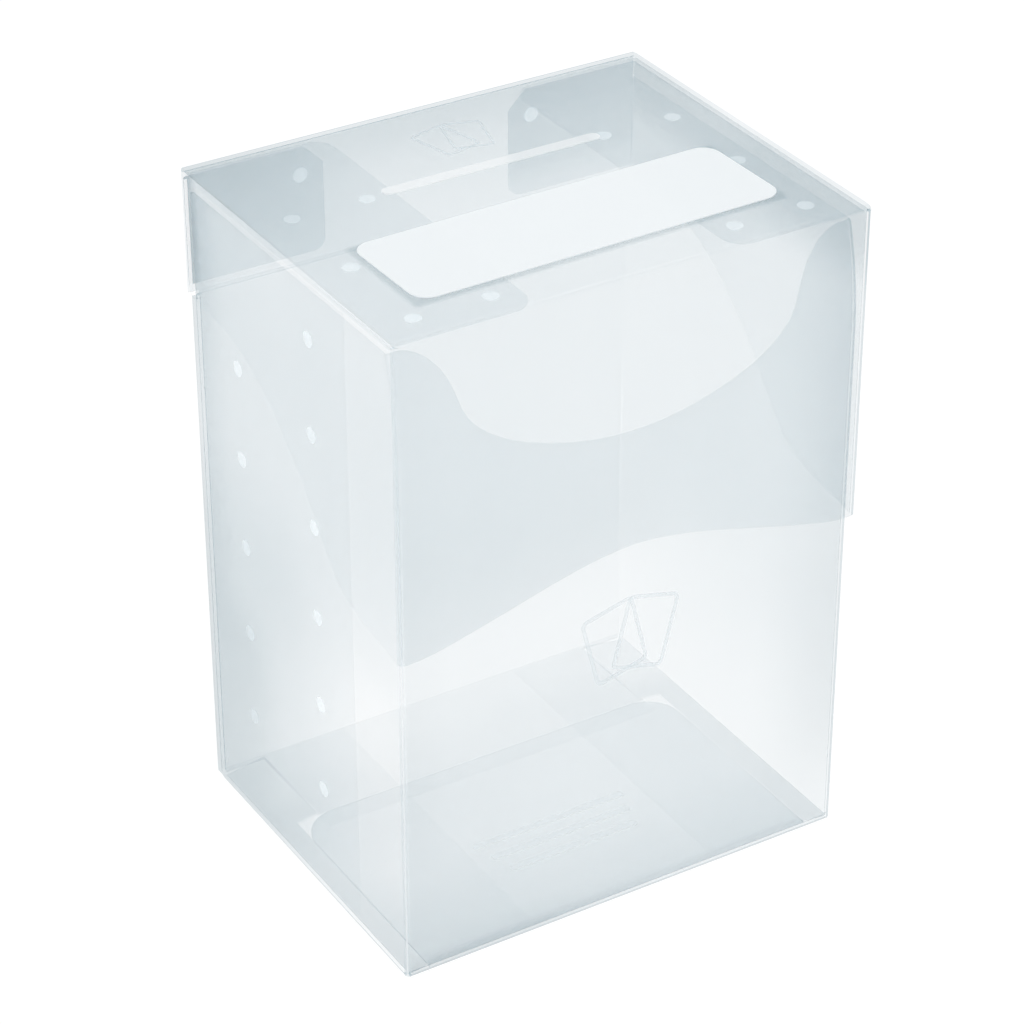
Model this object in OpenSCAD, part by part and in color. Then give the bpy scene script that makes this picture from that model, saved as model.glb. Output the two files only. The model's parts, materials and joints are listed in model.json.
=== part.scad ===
// Folded card deck box: a frosted polypropylene blank, creased, tabbed and spot welded,
// with a flip lid that turns on a living hinge across the back wall.
// Origin: centre of the footprint on the table. +X right, -Y front, +Z up. Millimetres.

/* [Outside] */
// width across the lid's two side flaps
box_w = 71.2; // [55:0.1:120]
// depth from the lid's front flap to its back strip
box_d = 56.9; // [32:0.1:100]
// height from the table to the top of the lid's top panel
box_h = 98.4; // [72:0.5:150]

/* [Sheet] */
// thickness of the plastic sheet
sheet_t = 0.5; // [0.3:0.05:0.9]
// inside radius of every fold
fold_inner_r = 0.2; // [0.1:0.05:1]
// gap on each side between the body and the lid's side flaps
side_gap = 0.15; // [0.1:0.05:0.6]
// gap between the body's front wall and the lid's front flap
front_gap = 0.5; // [0.3:0.05:1]
// gap between the body's side walls and the tabs behind the lid's back strip
rear_gap = 0.6; // [0.4:0.05:1.2]

/* [Lid] */
// depth of the lid at the hinge crease, down from the top
lid_back_depth = 19; // [14:0.5:30]
// depth of the lid's front flap at its two corners, down from the top
lid_front_depth = 46.8; // [30:0.2:70]
// rise of the shallow notch in the middle of the front flap's lower edge
lid_notch_rise = 7; // [0:0.2:14]
// width of the tabs turned in under the top panel and behind the back strip
tab_w = 20.9; // [10:0.1:24]
// corner radius of the turned-in tabs
tab_corner_r = 3; // [1:0.1:5]
// height of the web left in the hinge crease
crease_h = 0.6; // [0.4:0.05:1]
// thickness of the web left in the hinge crease
crease_t = 0.3; // [0.2:0.05:0.5]

/* [Body] */
// distance from the top of the lid down to the top edges of the body's walls
wall_drop = 3.3; // [2:0.1:8]
// half width of the thumb cut-out between its two shoulders
thumb_half_w = 32.9; // [20:0.1:50]
// depth of the thumb cut-out below the wall's top edge
thumb_depth = 20.2; // [8:0.1:40]
// width of the seam flap behind the left side wall
seam_w = 41.5; // [20:0.1:60]

/* [Bottom] */
// width of the side and back flaps of the bottom
bottom_flap_w = 21; // [10:0.1:26]
// length over which a bottom flap climbs onto the layer below it
bottom_ramp = 6.6; // [4:0.1:10]
// how far the bottom panel reaches back past the middle of the box
bottom_panel_reach = 11; // [5:0.1:20]
// overlap of the back flap over the bottom panel
bottom_overlap = 3.5; // [2:0.1:10]
// corner radius of the bottom panel's free end
bottom_corner_r = 6; // [2:0.1:8]

/* [Welds] */
// diameter of one weld spot
weld_d = 2.3; // [1:0.1:3]
// height of one weld spot above the sheet
weld_h = 0.15; // [0.1:0.05:0.3]
// number of weld rows on each tab under the top panel
top_weld_rows = 3; // [2:1:5]
// distance from the lid's front back to the first weld row under the top panel
top_weld_front_in = 6.1; // [4:0.1:10]
// distance from the lid's back forward to the last weld row under the top panel
top_weld_back_in = 19.6; // [4:0.1:24]
// number of weld rows down the seam
seam_weld_rows = 6; // [2:1:9]
// height of the lowest weld row of the seam above the table
seam_weld_foot = 16.4; // [6:0.1:24]
// distance from the walls' top edges down to the highest weld row of the seam
seam_weld_drop = 8.2; // [4:0.1:20]
// distance from a tab's fold to its outer weld column
weld_outer_in = 6.3; // [4:0.1:8]
// distance from a tab's fold to its inner weld column
weld_inner_in = 17.4; // [12:0.1:18.7]

/* [Label and marks] */
// width of the title label on the top panel
label_w = 55.2; // [30:0.1:64]
// depth of the title label on the top panel
label_d = 17.2; // [8:0.1:24]
// distance from the front of the lid back to the middle of the title label
label_in = 16.8; // [10:0.1:24]
// thickness of the title label
label_t = 0.15; // [0.1:0.01:0.3]
// corner radius of the title label
label_r = 2.6; // [1:0.1:4]
// how far the label is stuck on askew, in degrees
label_turn = 1; // [-3:0.1:3]
// height of the raised marks above the sheet
mark_t = 0.15; // [0.1:0.01:0.2]
// width of one card outline in the front mark
mark_w = 8.4; // [6:0.1:16]
// distance from the table up to the middle of the front mark
mark_z = 44.8; // [20:0.1:60]

/* [Hidden] */
$fn = 96;
eps = 0.01;
// outside radius of every fold
fold_r = sheet_t + fold_inner_r;
lid_x = box_w / 2;
lid_edge_x = lid_x - 0.2;
front_y = -box_d / 2;
back_y = box_d / 2;
hinge_z = box_h - lid_back_depth;
body_x = lid_x - sheet_t - side_gap;
seam_x = body_x - sheet_t;
// radius of the front wall's outer face about the hinge crease, so that the lid swings clear
swing_r = box_d - sheet_t - front_gap;
wall_y = back_y - swing_r;
wall_top = box_h - wall_drop;
rear_y = back_y - max(fold_r, 2 * sheet_t) - rear_gap;
rear_edge_y = back_y - fold_r;
lower_top = hinge_z - crease_h / 2;
strip_z = hinge_z + crease_h / 2;
seam_edge_y = back_y - seam_w;
flap_top = box_h - sheet_t - fold_r;
back_tab_y = back_y - sheet_t;
tab_x = lid_x - tab_w;
tab_half_y = box_d / 2 - fold_r - 0.25;
back_tab_z = hinge_z + 1.8;
flap_low_z = box_h - lid_front_depth;
bottom_tip_x = body_x - bottom_flap_w + 0.8;
bottom_side_half_y = -wall_y - fold_r - 0.15;
// half way up their climb the side flaps meet the bottom panel's upper edges
bottom_panel_half_x = body_x - fold_r - bottom_ramp / 2 - eps;
// the upright folds reach down past the bottom folds' ends and close the corners
fold_foot_z = 0.3;
bottom_back_half_x = body_x - fold_r - bottom_ramp;
outer_weld_x = lid_x - weld_outer_in;
inner_weld_x = lid_x - weld_inner_in;
top_weld_y = front_y + top_weld_front_in;
top_weld_pitch = (box_d - top_weld_front_in - top_weld_back_in) / (top_weld_rows - 1);
back_weld_z = hinge_z + (flap_top - hinge_z) * 0.77;
seam_weld_pitch = (wall_top - seam_weld_drop - seam_weld_foot) / (seam_weld_rows - 1);
seam_weld_y = [back_y - seam_w * 0.272, back_y - seam_w * 0.766];
// the top marks share the room between the title label and the lid's back fold
marks_y = front_y + label_in + label_d / 2;
marks_d = back_y - fold_r - marks_y;
clear_white = [0.86, 0.9, 0.92, 0.6];
crease_white = [0.93, 0.95, 0.97, 0.8];
label_white = [0.95, 0.97, 0.98];

// outline fractions: [share of the half width, share of the depth]
thumb_outline = [
    [0, 1], [0.08, 0.995], [0.16, 0.982], [0.25, 0.957], [0.34, 0.92], [0.43, 0.873],
    [0.51, 0.822], [0.58, 0.765], [0.64, 0.703], [0.69, 0.635], [0.735, 0.555],
    [0.765, 0.47], [0.785, 0.38], [0.805, 0.29], [0.83, 0.205], [0.865, 0.125],
    [0.91, 0.06], [0.955, 0.018], [1, 0]
];
notch_outline = [
    [0, 1], [0.06, 0.99], [0.12, 0.955], [0.2, 0.895], [0.3, 0.79], [0.4, 0.665],
    [0.5, 0.53], [0.6, 0.395], [0.7, 0.265], [0.8, 0.14], [0.88, 0.055], [0.94, 0.012], [1, 0]
];
// side flap's lower edge: [share of the depth from the front, share from the front's level
// (0) up to the hinge's level (1)]
flap_outline = [
    [0, 0], [0.04, 0.018], [0.08, 0.03], [0.13, 0.044], [0.18, 0.062], [0.22, 0.084],
    [0.26, 0.118], [0.29, 0.16], [0.32, 0.218], [0.35, 0.288], [0.38, 0.362], [0.41, 0.434],
    [0.45, 0.525], [0.49, 0.606], [0.53, 0.68], [0.58, 0.76], [0.63, 0.83], [0.68, 0.885],
    [0.73, 0.926], [0.78, 0.956], [0.84, 0.978], [0.9, 0.991], [0.96, 0.998], [1, 1]
];

// a flat outline in Y and Z, drawn out from x0 to x1
module along_x(x0, x1) {
    translate([x0, 0, 0]) rotate([90, 0, 90]) linear_extrude(x1 - x0) children();
}

// a flat outline in X and Z, drawn out from y0 to y1
module along_y(y0, y1) {
    translate([0, y1, 0]) rotate([90, 0, 0]) linear_extrude(y1 - y0) children();
}

// a flat outline in X and Y, drawn up from z0 to z1
module along_z(z0, z1) {
    translate([0, 0, z0]) linear_extrude(z1 - z0) children();
}

module rect(x0, y0, x1, y1) {
    translate([x0, y0]) square([x1 - x0, y1 - y0]);
}

// a rectangle whose four corners are rounded
module round_rect(x0, y0, x1, y1, r) {
    rect(x0 + r, y0, x1 - r, y1);
    rect(x0, y0 + r, x1, y1 - r);
    translate([x0 + r, y0 + r]) circle(r);
    translate([x1 - r, y0 + r]) circle(r);
    translate([x0 + r, y1 - r]) circle(r);
    translate([x1 - r, y1 - r]) circle(r);
}

// a quarter of a folded sheet's section about its centre, in the quadrant (sx, sy)
module fold_section(cx, cy, sx, sy) {
    translate([cx, cy]) intersection() {
        difference() {
            circle(fold_r);
            circle(fold_r - sheet_t);
        }
        scale([sx, sy]) square(2 * fold_r);
    }
}

// what a wall keeps of a disc about the hinge crease above its level, and all of it below
module within_swing(r) {
    intersection() {
        translate([back_y, hinge_z]) circle(r, $fn = 360);
        rect(front_y - 5, hinge_z, back_y, box_h);
    }
    rect(back_y - r, 0, back_y, hinge_z);
}

// two overlapping playing card outlines
module card_pair(w) {
    line = w * 0.07;
    h = w * 1.35;
    for (side = [-1, 1]) {
        rotate(-side * 14) difference() {
            round_rect(-w / 2 + side * w * 0.3, -h / 2, w / 2 + side * w * 0.3, h / 2, w * 0.12);
            round_rect(-w / 2 + side * w * 0.3 + line, -h / 2 + line, w / 2 + side * w * 0.3 - line,
                h / 2 - line, w * 0.06);
        }
    }
}

module thumb_cut() {
    half = [for (p = thumb_outline) [p[0] * thumb_half_w, wall_top - p[1] * thumb_depth]];
    other = [for (i = [len(half) - 1 : -1 : 1]) [-half[i][0], half[i][1]]];
    polygon(concat(half, [[thumb_half_w, wall_top + 5], [-thumb_half_w, wall_top + 5]], other));
}

module front_wall() {
    half_x = body_x - fold_r;
    color(clear_white) {
        difference() {
            along_x(-half_x, half_x) intersection() {
                difference() {
                    within_swing(swing_r);
                    within_swing(swing_r - sheet_t);
                }
                rect(front_y, fold_r, back_y - swing_r * 0.5, wall_top);
            }
            along_y(front_y - 1, wall_y + 10) thumb_cut();
        }
        along_y(wall_y - mark_t, wall_y + 0.1) translate([0, mark_z]) card_pair(mark_w);
    }
}

// a side wall's flat outline in Y and Z
module side_outline(y0, y1, z0) {
    intersection() {
        within_swing(swing_r - fold_r);
        union() {
            rect(y0, z0, y1, lower_top);
            rect(y0, lower_top - eps, min(y1, rear_y), wall_top);
        }
    }
}

module right_side_wall() {
    color(clear_white) along_x(body_x - sheet_t, body_x) side_outline(front_y, rear_edge_y, fold_r);
}

module left_side_wall() {
    color(clear_white) along_x(-body_x, -body_x + sheet_t) side_outline(front_y, back_y - 0.4, fold_r);
}

module seam_flap() {
    color(clear_white) along_x(-seam_x, -seam_x + sheet_t) {
        side_outline(seam_edge_y, rear_edge_y, fold_r + 0.4);
    }
}

module back_wall() {
    color(clear_white) along_z(fold_r, lower_top) {
        rect(-seam_x + fold_r, back_y - sheet_t, body_x - fold_r, back_y);
    }
}

// an upright fold at the front that follows the front wall's curve above the hinge's level
module front_fold(side) {
    cx = body_x - fold_r;
    along_z(fold_foot_z, hinge_z) fold_section(side * cx, wall_y + fold_r, side, -1);
    intersection() {
        translate([0, back_y, hinge_z]) rotate([90, 0, -90]) rotate_extrude(angle = 40, $fn = 360) {
            fold_section(swing_r - fold_r, -side * cx, 1, -side);
        }
        translate([-box_w, front_y - 5, hinge_z]) cube([2 * box_w, box_d, wall_top - hinge_z]);
    }
}

module front_left_fold() {
    color(crease_white) front_fold(-1);
}

module front_right_fold() {
    color(crease_white) front_fold(1);
}

module back_left_fold() {
    color(crease_white) along_z(fold_foot_z, lower_top) {
        fold_section(-seam_x + fold_r, back_y - fold_r, -1, 1);
    }
}

module back_right_fold() {
    color(crease_white) along_z(fold_foot_z, lower_top) {
        fold_section(body_x - fold_r, back_y - fold_r, 1, 1);
    }
}

// the outermost panel of the bottom, turned back from the front wall, with raised marks
module bottom_panel() {
    half_x = bottom_panel_half_x;
    color(clear_white) {
        along_x(-body_x + fold_r, body_x - fold_r) fold_section(wall_y + fold_r, fold_r, -1, -1);
        along_z(0, sheet_t) {
            rect(-half_x, wall_y + fold_r, half_x, bottom_panel_reach - bottom_corner_r);
            round_rect(-half_x, 0, half_x, bottom_panel_reach,
                min(bottom_corner_r, bottom_panel_reach / 2 - 0.1));
        }
        along_z(sheet_t - 0.1, sheet_t + mark_t) {
            for (i = [0 : 2]) translate([0, wall_y * (0.27 + i * 0.125)]) {
                round_rect(-12.5 + i, -0.6, 12.5 - i, 0.6, 0.5);
            }
        }
    }
}

// a bottom flap's section past its fold: a climb onto the layers below it and a flat
module flap_section(fold_at, tip, lift) {
    polygon([
        [fold_at, 0], [fold_at, sheet_t], [fold_at - bottom_ramp, lift + sheet_t],
        [tip, lift + sheet_t], [tip, lift], [fold_at - bottom_ramp, lift]
    ]);
}

module bottom_back_flap() {
    tip = bottom_panel_reach - bottom_overlap;
    color(clear_white) {
        along_x(-bottom_back_half_x, bottom_back_half_x) flap_section(back_y - fold_r, tip, sheet_t);
        along_x(-seam_x + fold_r, body_x - fold_r) fold_section(back_y - fold_r, fold_r, 1, -1);
    }
}

module bottom_right_flap() {
    color(clear_white) along_y(-bottom_side_half_y, bottom_side_half_y) {
        fold_section(body_x - fold_r, fold_r, 1, -1);
        flap_section(body_x - fold_r, bottom_tip_x, 2 * sheet_t);
    }
}

module bottom_left_flap() {
    mirror([1, 0, 0]) bottom_right_flap();
}

module seam_welds() {
    color(crease_white) along_x(-seam_x + sheet_t, -seam_x + sheet_t + weld_h) {
        for (i = [0 : seam_weld_rows - 1], column = [0, 1]) {
            // the column by the back fold has no spot in the top row, where the lid's tab lies
            if (i < seam_weld_rows - 1 || column == 1) {
                translate([seam_weld_y[column], seam_weld_foot + i * seam_weld_pitch]) circle(d = weld_d);
            }
        }
    }
}

// the thin web of sheet left between the back wall and the lid
module lid_hinge_crease() {
    half_x = seam_x - fold_r;
    color(crease_white) along_z(lower_top, strip_z) rect(-half_x, back_y - crease_t, half_x, back_y);
}

module lid_back_strip() {
    color(clear_white) along_z(strip_z, box_h - fold_r) {
        rect(-lid_edge_x, back_y - sheet_t, lid_edge_x, back_y);
    }
}

module lid_back_fold() {
    color(crease_white) along_x(-lid_edge_x, lid_edge_x) {
        fold_section(back_y - fold_r, box_h - fold_r, 1, 1);
    }
}

module lid_top_panel() {
    color(clear_white) {
        along_z(box_h - sheet_t, box_h) rect(-lid_edge_x, front_y + fold_r, lid_edge_x, back_y - fold_r);
        along_z(box_h - 0.1, box_h + mark_t) {
            translate([0, marks_y + marks_d * 0.666]) card_pair(marks_d * 0.19);
            translate([0, marks_y + marks_d * 0.346]) {
                bar = [marks_d * 0.54, marks_d * 0.032];
                round_rect(-bar[0], -bar[1], bar[0], bar[1], marks_d * 0.028);
            }
        }
    }
}

module lid_front_fold() {
    color(crease_white) along_x(-lid_edge_x, lid_edge_x) {
        fold_section(front_y + fold_r, box_h - fold_r, -1, 1);
    }
}

module lid_front_flap() {
    half_x = lid_x - fold_r;
    half = [for (p = notch_outline) [p[0] * half_x, flap_low_z + p[1] * lid_notch_rise]];
    other = [for (i = [len(half) - 1 : -1 : 1]) [-half[i][0], half[i][1]]];
    color(clear_white) along_y(front_y, front_y + sheet_t) {
        polygon(concat(half, [[half_x, box_h - fold_r], [-half_x, box_h - fold_r]], other));
    }
}

module lid_front_corner(side) {
    color(crease_white) along_z(flap_low_z, box_h - fold_r) {
        fold_section(side * (lid_x - fold_r), front_y + fold_r, side, -1);
    }
}

module lid_front_left_fold() {
    lid_front_corner(-1);
}

module lid_front_right_fold() {
    lid_front_corner(1);
}

module side_flap_outline() {
    y0 = front_y + fold_r;
    y1 = back_y - sheet_t - fold_r;
    low = [for (p = flap_outline) [y0 + p[0] * (y1 - y0), flap_low_z + p[1] * (strip_z - flap_low_z)]];
    polygon(concat(low, [[y1, flap_top], [y0, flap_top]]));
}

module lid_right_flap() {
    color(clear_white) along_x(lid_x - sheet_t, lid_x) side_flap_outline();
}

module lid_left_flap() {
    color(clear_white) along_x(-lid_x, -lid_x + sheet_t) side_flap_outline();
}

// the tab turned in from the right side flap and welded under the top panel
module lid_top_tab_right() {
    fold_x = lid_x - fold_r;
    color(clear_white) {
        along_y(-tab_half_y, tab_half_y - sheet_t) fold_section(fold_x, flap_top, 1, 1);
        along_z(box_h - 2 * sheet_t, box_h - sheet_t) {
            rect(fold_x - tab_corner_r - 1, -tab_half_y, fold_x, tab_half_y - sheet_t);
            round_rect(tab_x, -tab_half_y, fold_x - 1, tab_half_y - sheet_t, tab_corner_r);
        }
    }
}

module lid_top_tab_left() {
    mirror([1, 0, 0]) lid_top_tab_right();
}

// the tab turned in from the right side flap and welded behind the back strip
module lid_back_tab_right() {
    fold_x = lid_x - fold_r;
    top = flap_top - 0.2;
    color(clear_white) {
        along_z(back_tab_z, top) fold_section(fold_x, back_tab_y - fold_r, 1, 1);
        along_y(back_tab_y - sheet_t, back_tab_y) difference() {
            union() {
                rect(fold_x - tab_corner_r - 1, back_tab_z, fold_x, top);
                round_rect(tab_x, back_tab_z, fold_x - 1, top, tab_corner_r * 0.6);
            }
            translate([tab_x, top]) rotate(45) square(tab_corner_r * 1.3, center = true);
        }
    }
}

module lid_back_tab_left() {
    mirror([1, 0, 0]) lid_back_tab_right();
}

module lid_top_welds() {
    color(crease_white) along_z(box_h - 2 * sheet_t - weld_h, box_h - 2 * sheet_t) {
        for (side = [-1, 1], x = [inner_weld_x, outer_weld_x], i = [0 : top_weld_rows - 1]) {
            translate([side * x, top_weld_y + i * top_weld_pitch]) circle(d = weld_d);
        }
    }
}

module lid_back_welds() {
    y = back_tab_y - sheet_t;
    color(crease_white) along_y(y - weld_h, y) {
        for (side = [-1, 1]) translate([side * inner_weld_x, back_weld_z]) circle(d = weld_d);
    }
}

module title_label() {
    y = front_y + label_in;
    color(label_white) along_z(box_h, box_h + label_t) translate([0, y]) rotate(label_turn) {
        round_rect(-label_w / 2, -label_d / 2, label_w / 2, label_d / 2, label_r);
    }
}

front_wall();
right_side_wall();
back_wall();
left_side_wall();
seam_flap();
front_left_fold();
front_right_fold();
back_left_fold();
back_right_fold();
bottom_panel();
bottom_back_flap();
bottom_left_flap();
bottom_right_flap();
seam_welds();
lid_hinge_crease();
lid_back_strip();
lid_back_fold();
lid_top_panel();
lid_front_fold();
lid_front_flap();
lid_front_left_fold();
lid_front_right_fold();
lid_left_flap();
lid_right_flap();
lid_top_tab_left();
lid_top_tab_right();
lid_back_tab_left();
lid_back_tab_right();
lid_top_welds();
lid_back_welds();
title_label();
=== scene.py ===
"""A frosted clear card deck box: a creased and welded sheet with a flip lid and a title label."""

import json
import logging
import math
from dataclasses import dataclass, replace
from enum import Enum
from typing import Callable, Iterable, Sequence

import bmesh
import bpy
from mathutils import Matrix, Vector


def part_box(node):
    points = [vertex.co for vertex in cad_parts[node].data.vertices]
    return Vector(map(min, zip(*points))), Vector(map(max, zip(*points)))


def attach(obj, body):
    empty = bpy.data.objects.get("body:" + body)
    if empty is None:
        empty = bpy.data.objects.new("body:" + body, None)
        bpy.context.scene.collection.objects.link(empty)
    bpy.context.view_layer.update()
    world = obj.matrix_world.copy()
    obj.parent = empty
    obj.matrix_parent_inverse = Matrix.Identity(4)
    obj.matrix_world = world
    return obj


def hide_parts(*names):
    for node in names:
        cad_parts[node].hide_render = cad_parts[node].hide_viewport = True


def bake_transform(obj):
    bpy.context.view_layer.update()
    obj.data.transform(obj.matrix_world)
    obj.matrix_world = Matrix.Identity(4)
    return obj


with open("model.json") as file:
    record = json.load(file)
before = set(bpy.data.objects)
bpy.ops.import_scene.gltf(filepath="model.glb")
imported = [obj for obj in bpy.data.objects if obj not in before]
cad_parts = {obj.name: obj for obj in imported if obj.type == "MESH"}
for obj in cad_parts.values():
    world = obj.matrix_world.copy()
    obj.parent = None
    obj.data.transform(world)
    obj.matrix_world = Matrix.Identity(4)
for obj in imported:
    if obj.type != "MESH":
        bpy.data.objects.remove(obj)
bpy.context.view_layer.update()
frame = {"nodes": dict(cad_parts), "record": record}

LOG = logging.getLogger("deck_box")
MM = 0.001
# the first mask carries painted shade on the sheets, and below 0 painted light that clears them; the second
# carries stress whitening and the white of marks, welds and label, with painted highlights along the near
# folds
SHADE = "painted_shade_and_light"
WHITE = "whitening_and_painted_highlight"
# gaps across the sheets' lengths: on walls and folds, along flaps, and round a fold
WALL_STEPS = 30
FLAP_STEPS = 24
FOLD_STEPS = 6
TAIL_STEPS = 19

Point = tuple[float, float, float]
Column = tuple[float, list[float]]
Place = Callable[[float, float, float], Point]
Mask = Callable[[float, float], float]

# share of the half width, share of the depth
THUMB_OUTLINE = [
    (0, 1), (0.08, 0.995), (0.16, 0.982), (0.25, 0.957), (0.34, 0.92), (0.43, 0.873),
    (0.51, 0.822), (0.58, 0.765), (0.64, 0.703), (0.69, 0.635), (0.735, 0.555),
    (0.765, 0.47), (0.785, 0.38), (0.805, 0.29), (0.83, 0.205), (0.865, 0.125),
    (0.91, 0.06), (0.955, 0.018), (1, 0),
]
NOTCH_OUTLINE = [
    (0, 1), (0.06, 0.99), (0.12, 0.955), (0.2, 0.895), (0.3, 0.79), (0.4, 0.665),
    (0.5, 0.53), (0.6, 0.395), (0.7, 0.265), (0.8, 0.14), (0.88, 0.055), (0.94, 0.012), (1, 0),
]
# share of the depth from the front, share of the rise from the front's level to the hinge's
FLAP_OUTLINE = [
    (0, 0), (0.04, 0.018), (0.08, 0.03), (0.13, 0.044), (0.18, 0.062), (0.22, 0.084),
    (0.26, 0.118), (0.29, 0.16), (0.32, 0.218), (0.35, 0.288), (0.38, 0.362), (0.41, 0.434),
    (0.45, 0.525), (0.49, 0.606), (0.53, 0.68), (0.58, 0.76), (0.63, 0.83), (0.68, 0.885),
    (0.73, 0.926), (0.78, 0.956), (0.84, 0.978), (0.9, 0.991), (0.96, 0.998), (1, 1),
]


class Body(Enum):
    """The two bodies that a piece can ride on."""

    BOX = "body"
    LID = "lid"


class Slot(Enum):
    """The record's material slots."""

    SHEET = "clear_sheet"
    FOLD = "fold_line"
    LABEL = "label_film"


class Rim(Enum):
    """The four rims of a strip of sheet: along its columns and at its two end columns."""

    LOW = "low"
    HIGH = "high"
    FIRST = "first"
    LAST = "last"



def smooth_curve(points: Sequence[tuple[float, float]], steps: int) -> list[tuple[float, float]]:
    """Runs a smooth line through points.

    Args:
        points: the points it goes through, in order.
        steps: new points for each gap between two of them.

    Returns:
        The points of the smooth line, both ends included.
    """
    line = []
    last = len(points) - 1
    for i in range(last):
        p0, p1 = points[max(i - 1, 0)], points[i]
        p2, p3 = points[i + 1], points[min(i + 2, last)]
        for k in range(steps):
            t = k / steps
            line.append(tuple(
                0.5 * (
                    2 * b + (c - a) * t + (2 * a - 5 * b + 4 * c - d) * t**2
                    + (3 * b - a - 3 * c + d) * t**3
                )
                for a, b, c, d in zip(p0, p1, p2, p3)
            ))
    line.append(tuple(points[-1]))
    return line


def spread(low: float, high: float, count: int) -> list[float]:
    """Gives count + 1 values evenly from low to high."""
    return [low + (high - low) * i / count for i in range(count + 1)]


def fade(distance: float, width: float) -> float:
    """Gives 1 at an edge, falling smoothly to 0 at width from it."""
    t = min(max(1 - distance / width, 0), 1)
    return t * t * (3 - 2 * t)


def ramp(value: float, start: float, end: float) -> float:
    """Gives 0 up to the start, rising smoothly to 1 at the end, which may be the lower of the two."""
    return fade(end - value, end - start) if end > start else fade(value - end, start - end)


@dataclass(frozen=True)
class Band:
    """A soft band across a sheet: nothing at its start, full strength at its end."""

    start: float
    end: float = 0.0
    strength: float = 1.0

    def at(self, value: float) -> float:
        """Gives the band's strength at a place or a distance in millimetres."""
        return self.strength * ramp(value, self.start, self.end)


def round_outline(
    half_w: float, half_h: float, radius: float, steps: int = 8
) -> list[tuple[float, float]]:
    """Draws a rectangle with rounded corners about the origin.

    Args:
        half_w: half its width.
        half_h: half its height.
        radius: its corners' radius.
        steps: points for each corner's gaps.

    Returns:
        Its outline's points, counter-clockwise.
    """
    points = []
    for quarter, (sx, sy) in enumerate(((1, 1), (-1, 1), (-1, -1), (1, -1))):
        for k in range(steps + 1):
            a = math.radians(90 * (quarter + k / steps))
            points.append((
                sx * (half_w - radius) + radius * math.cos(a),
                sy * (half_h - radius) + radius * math.sin(a),
            ))
    return points


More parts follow.
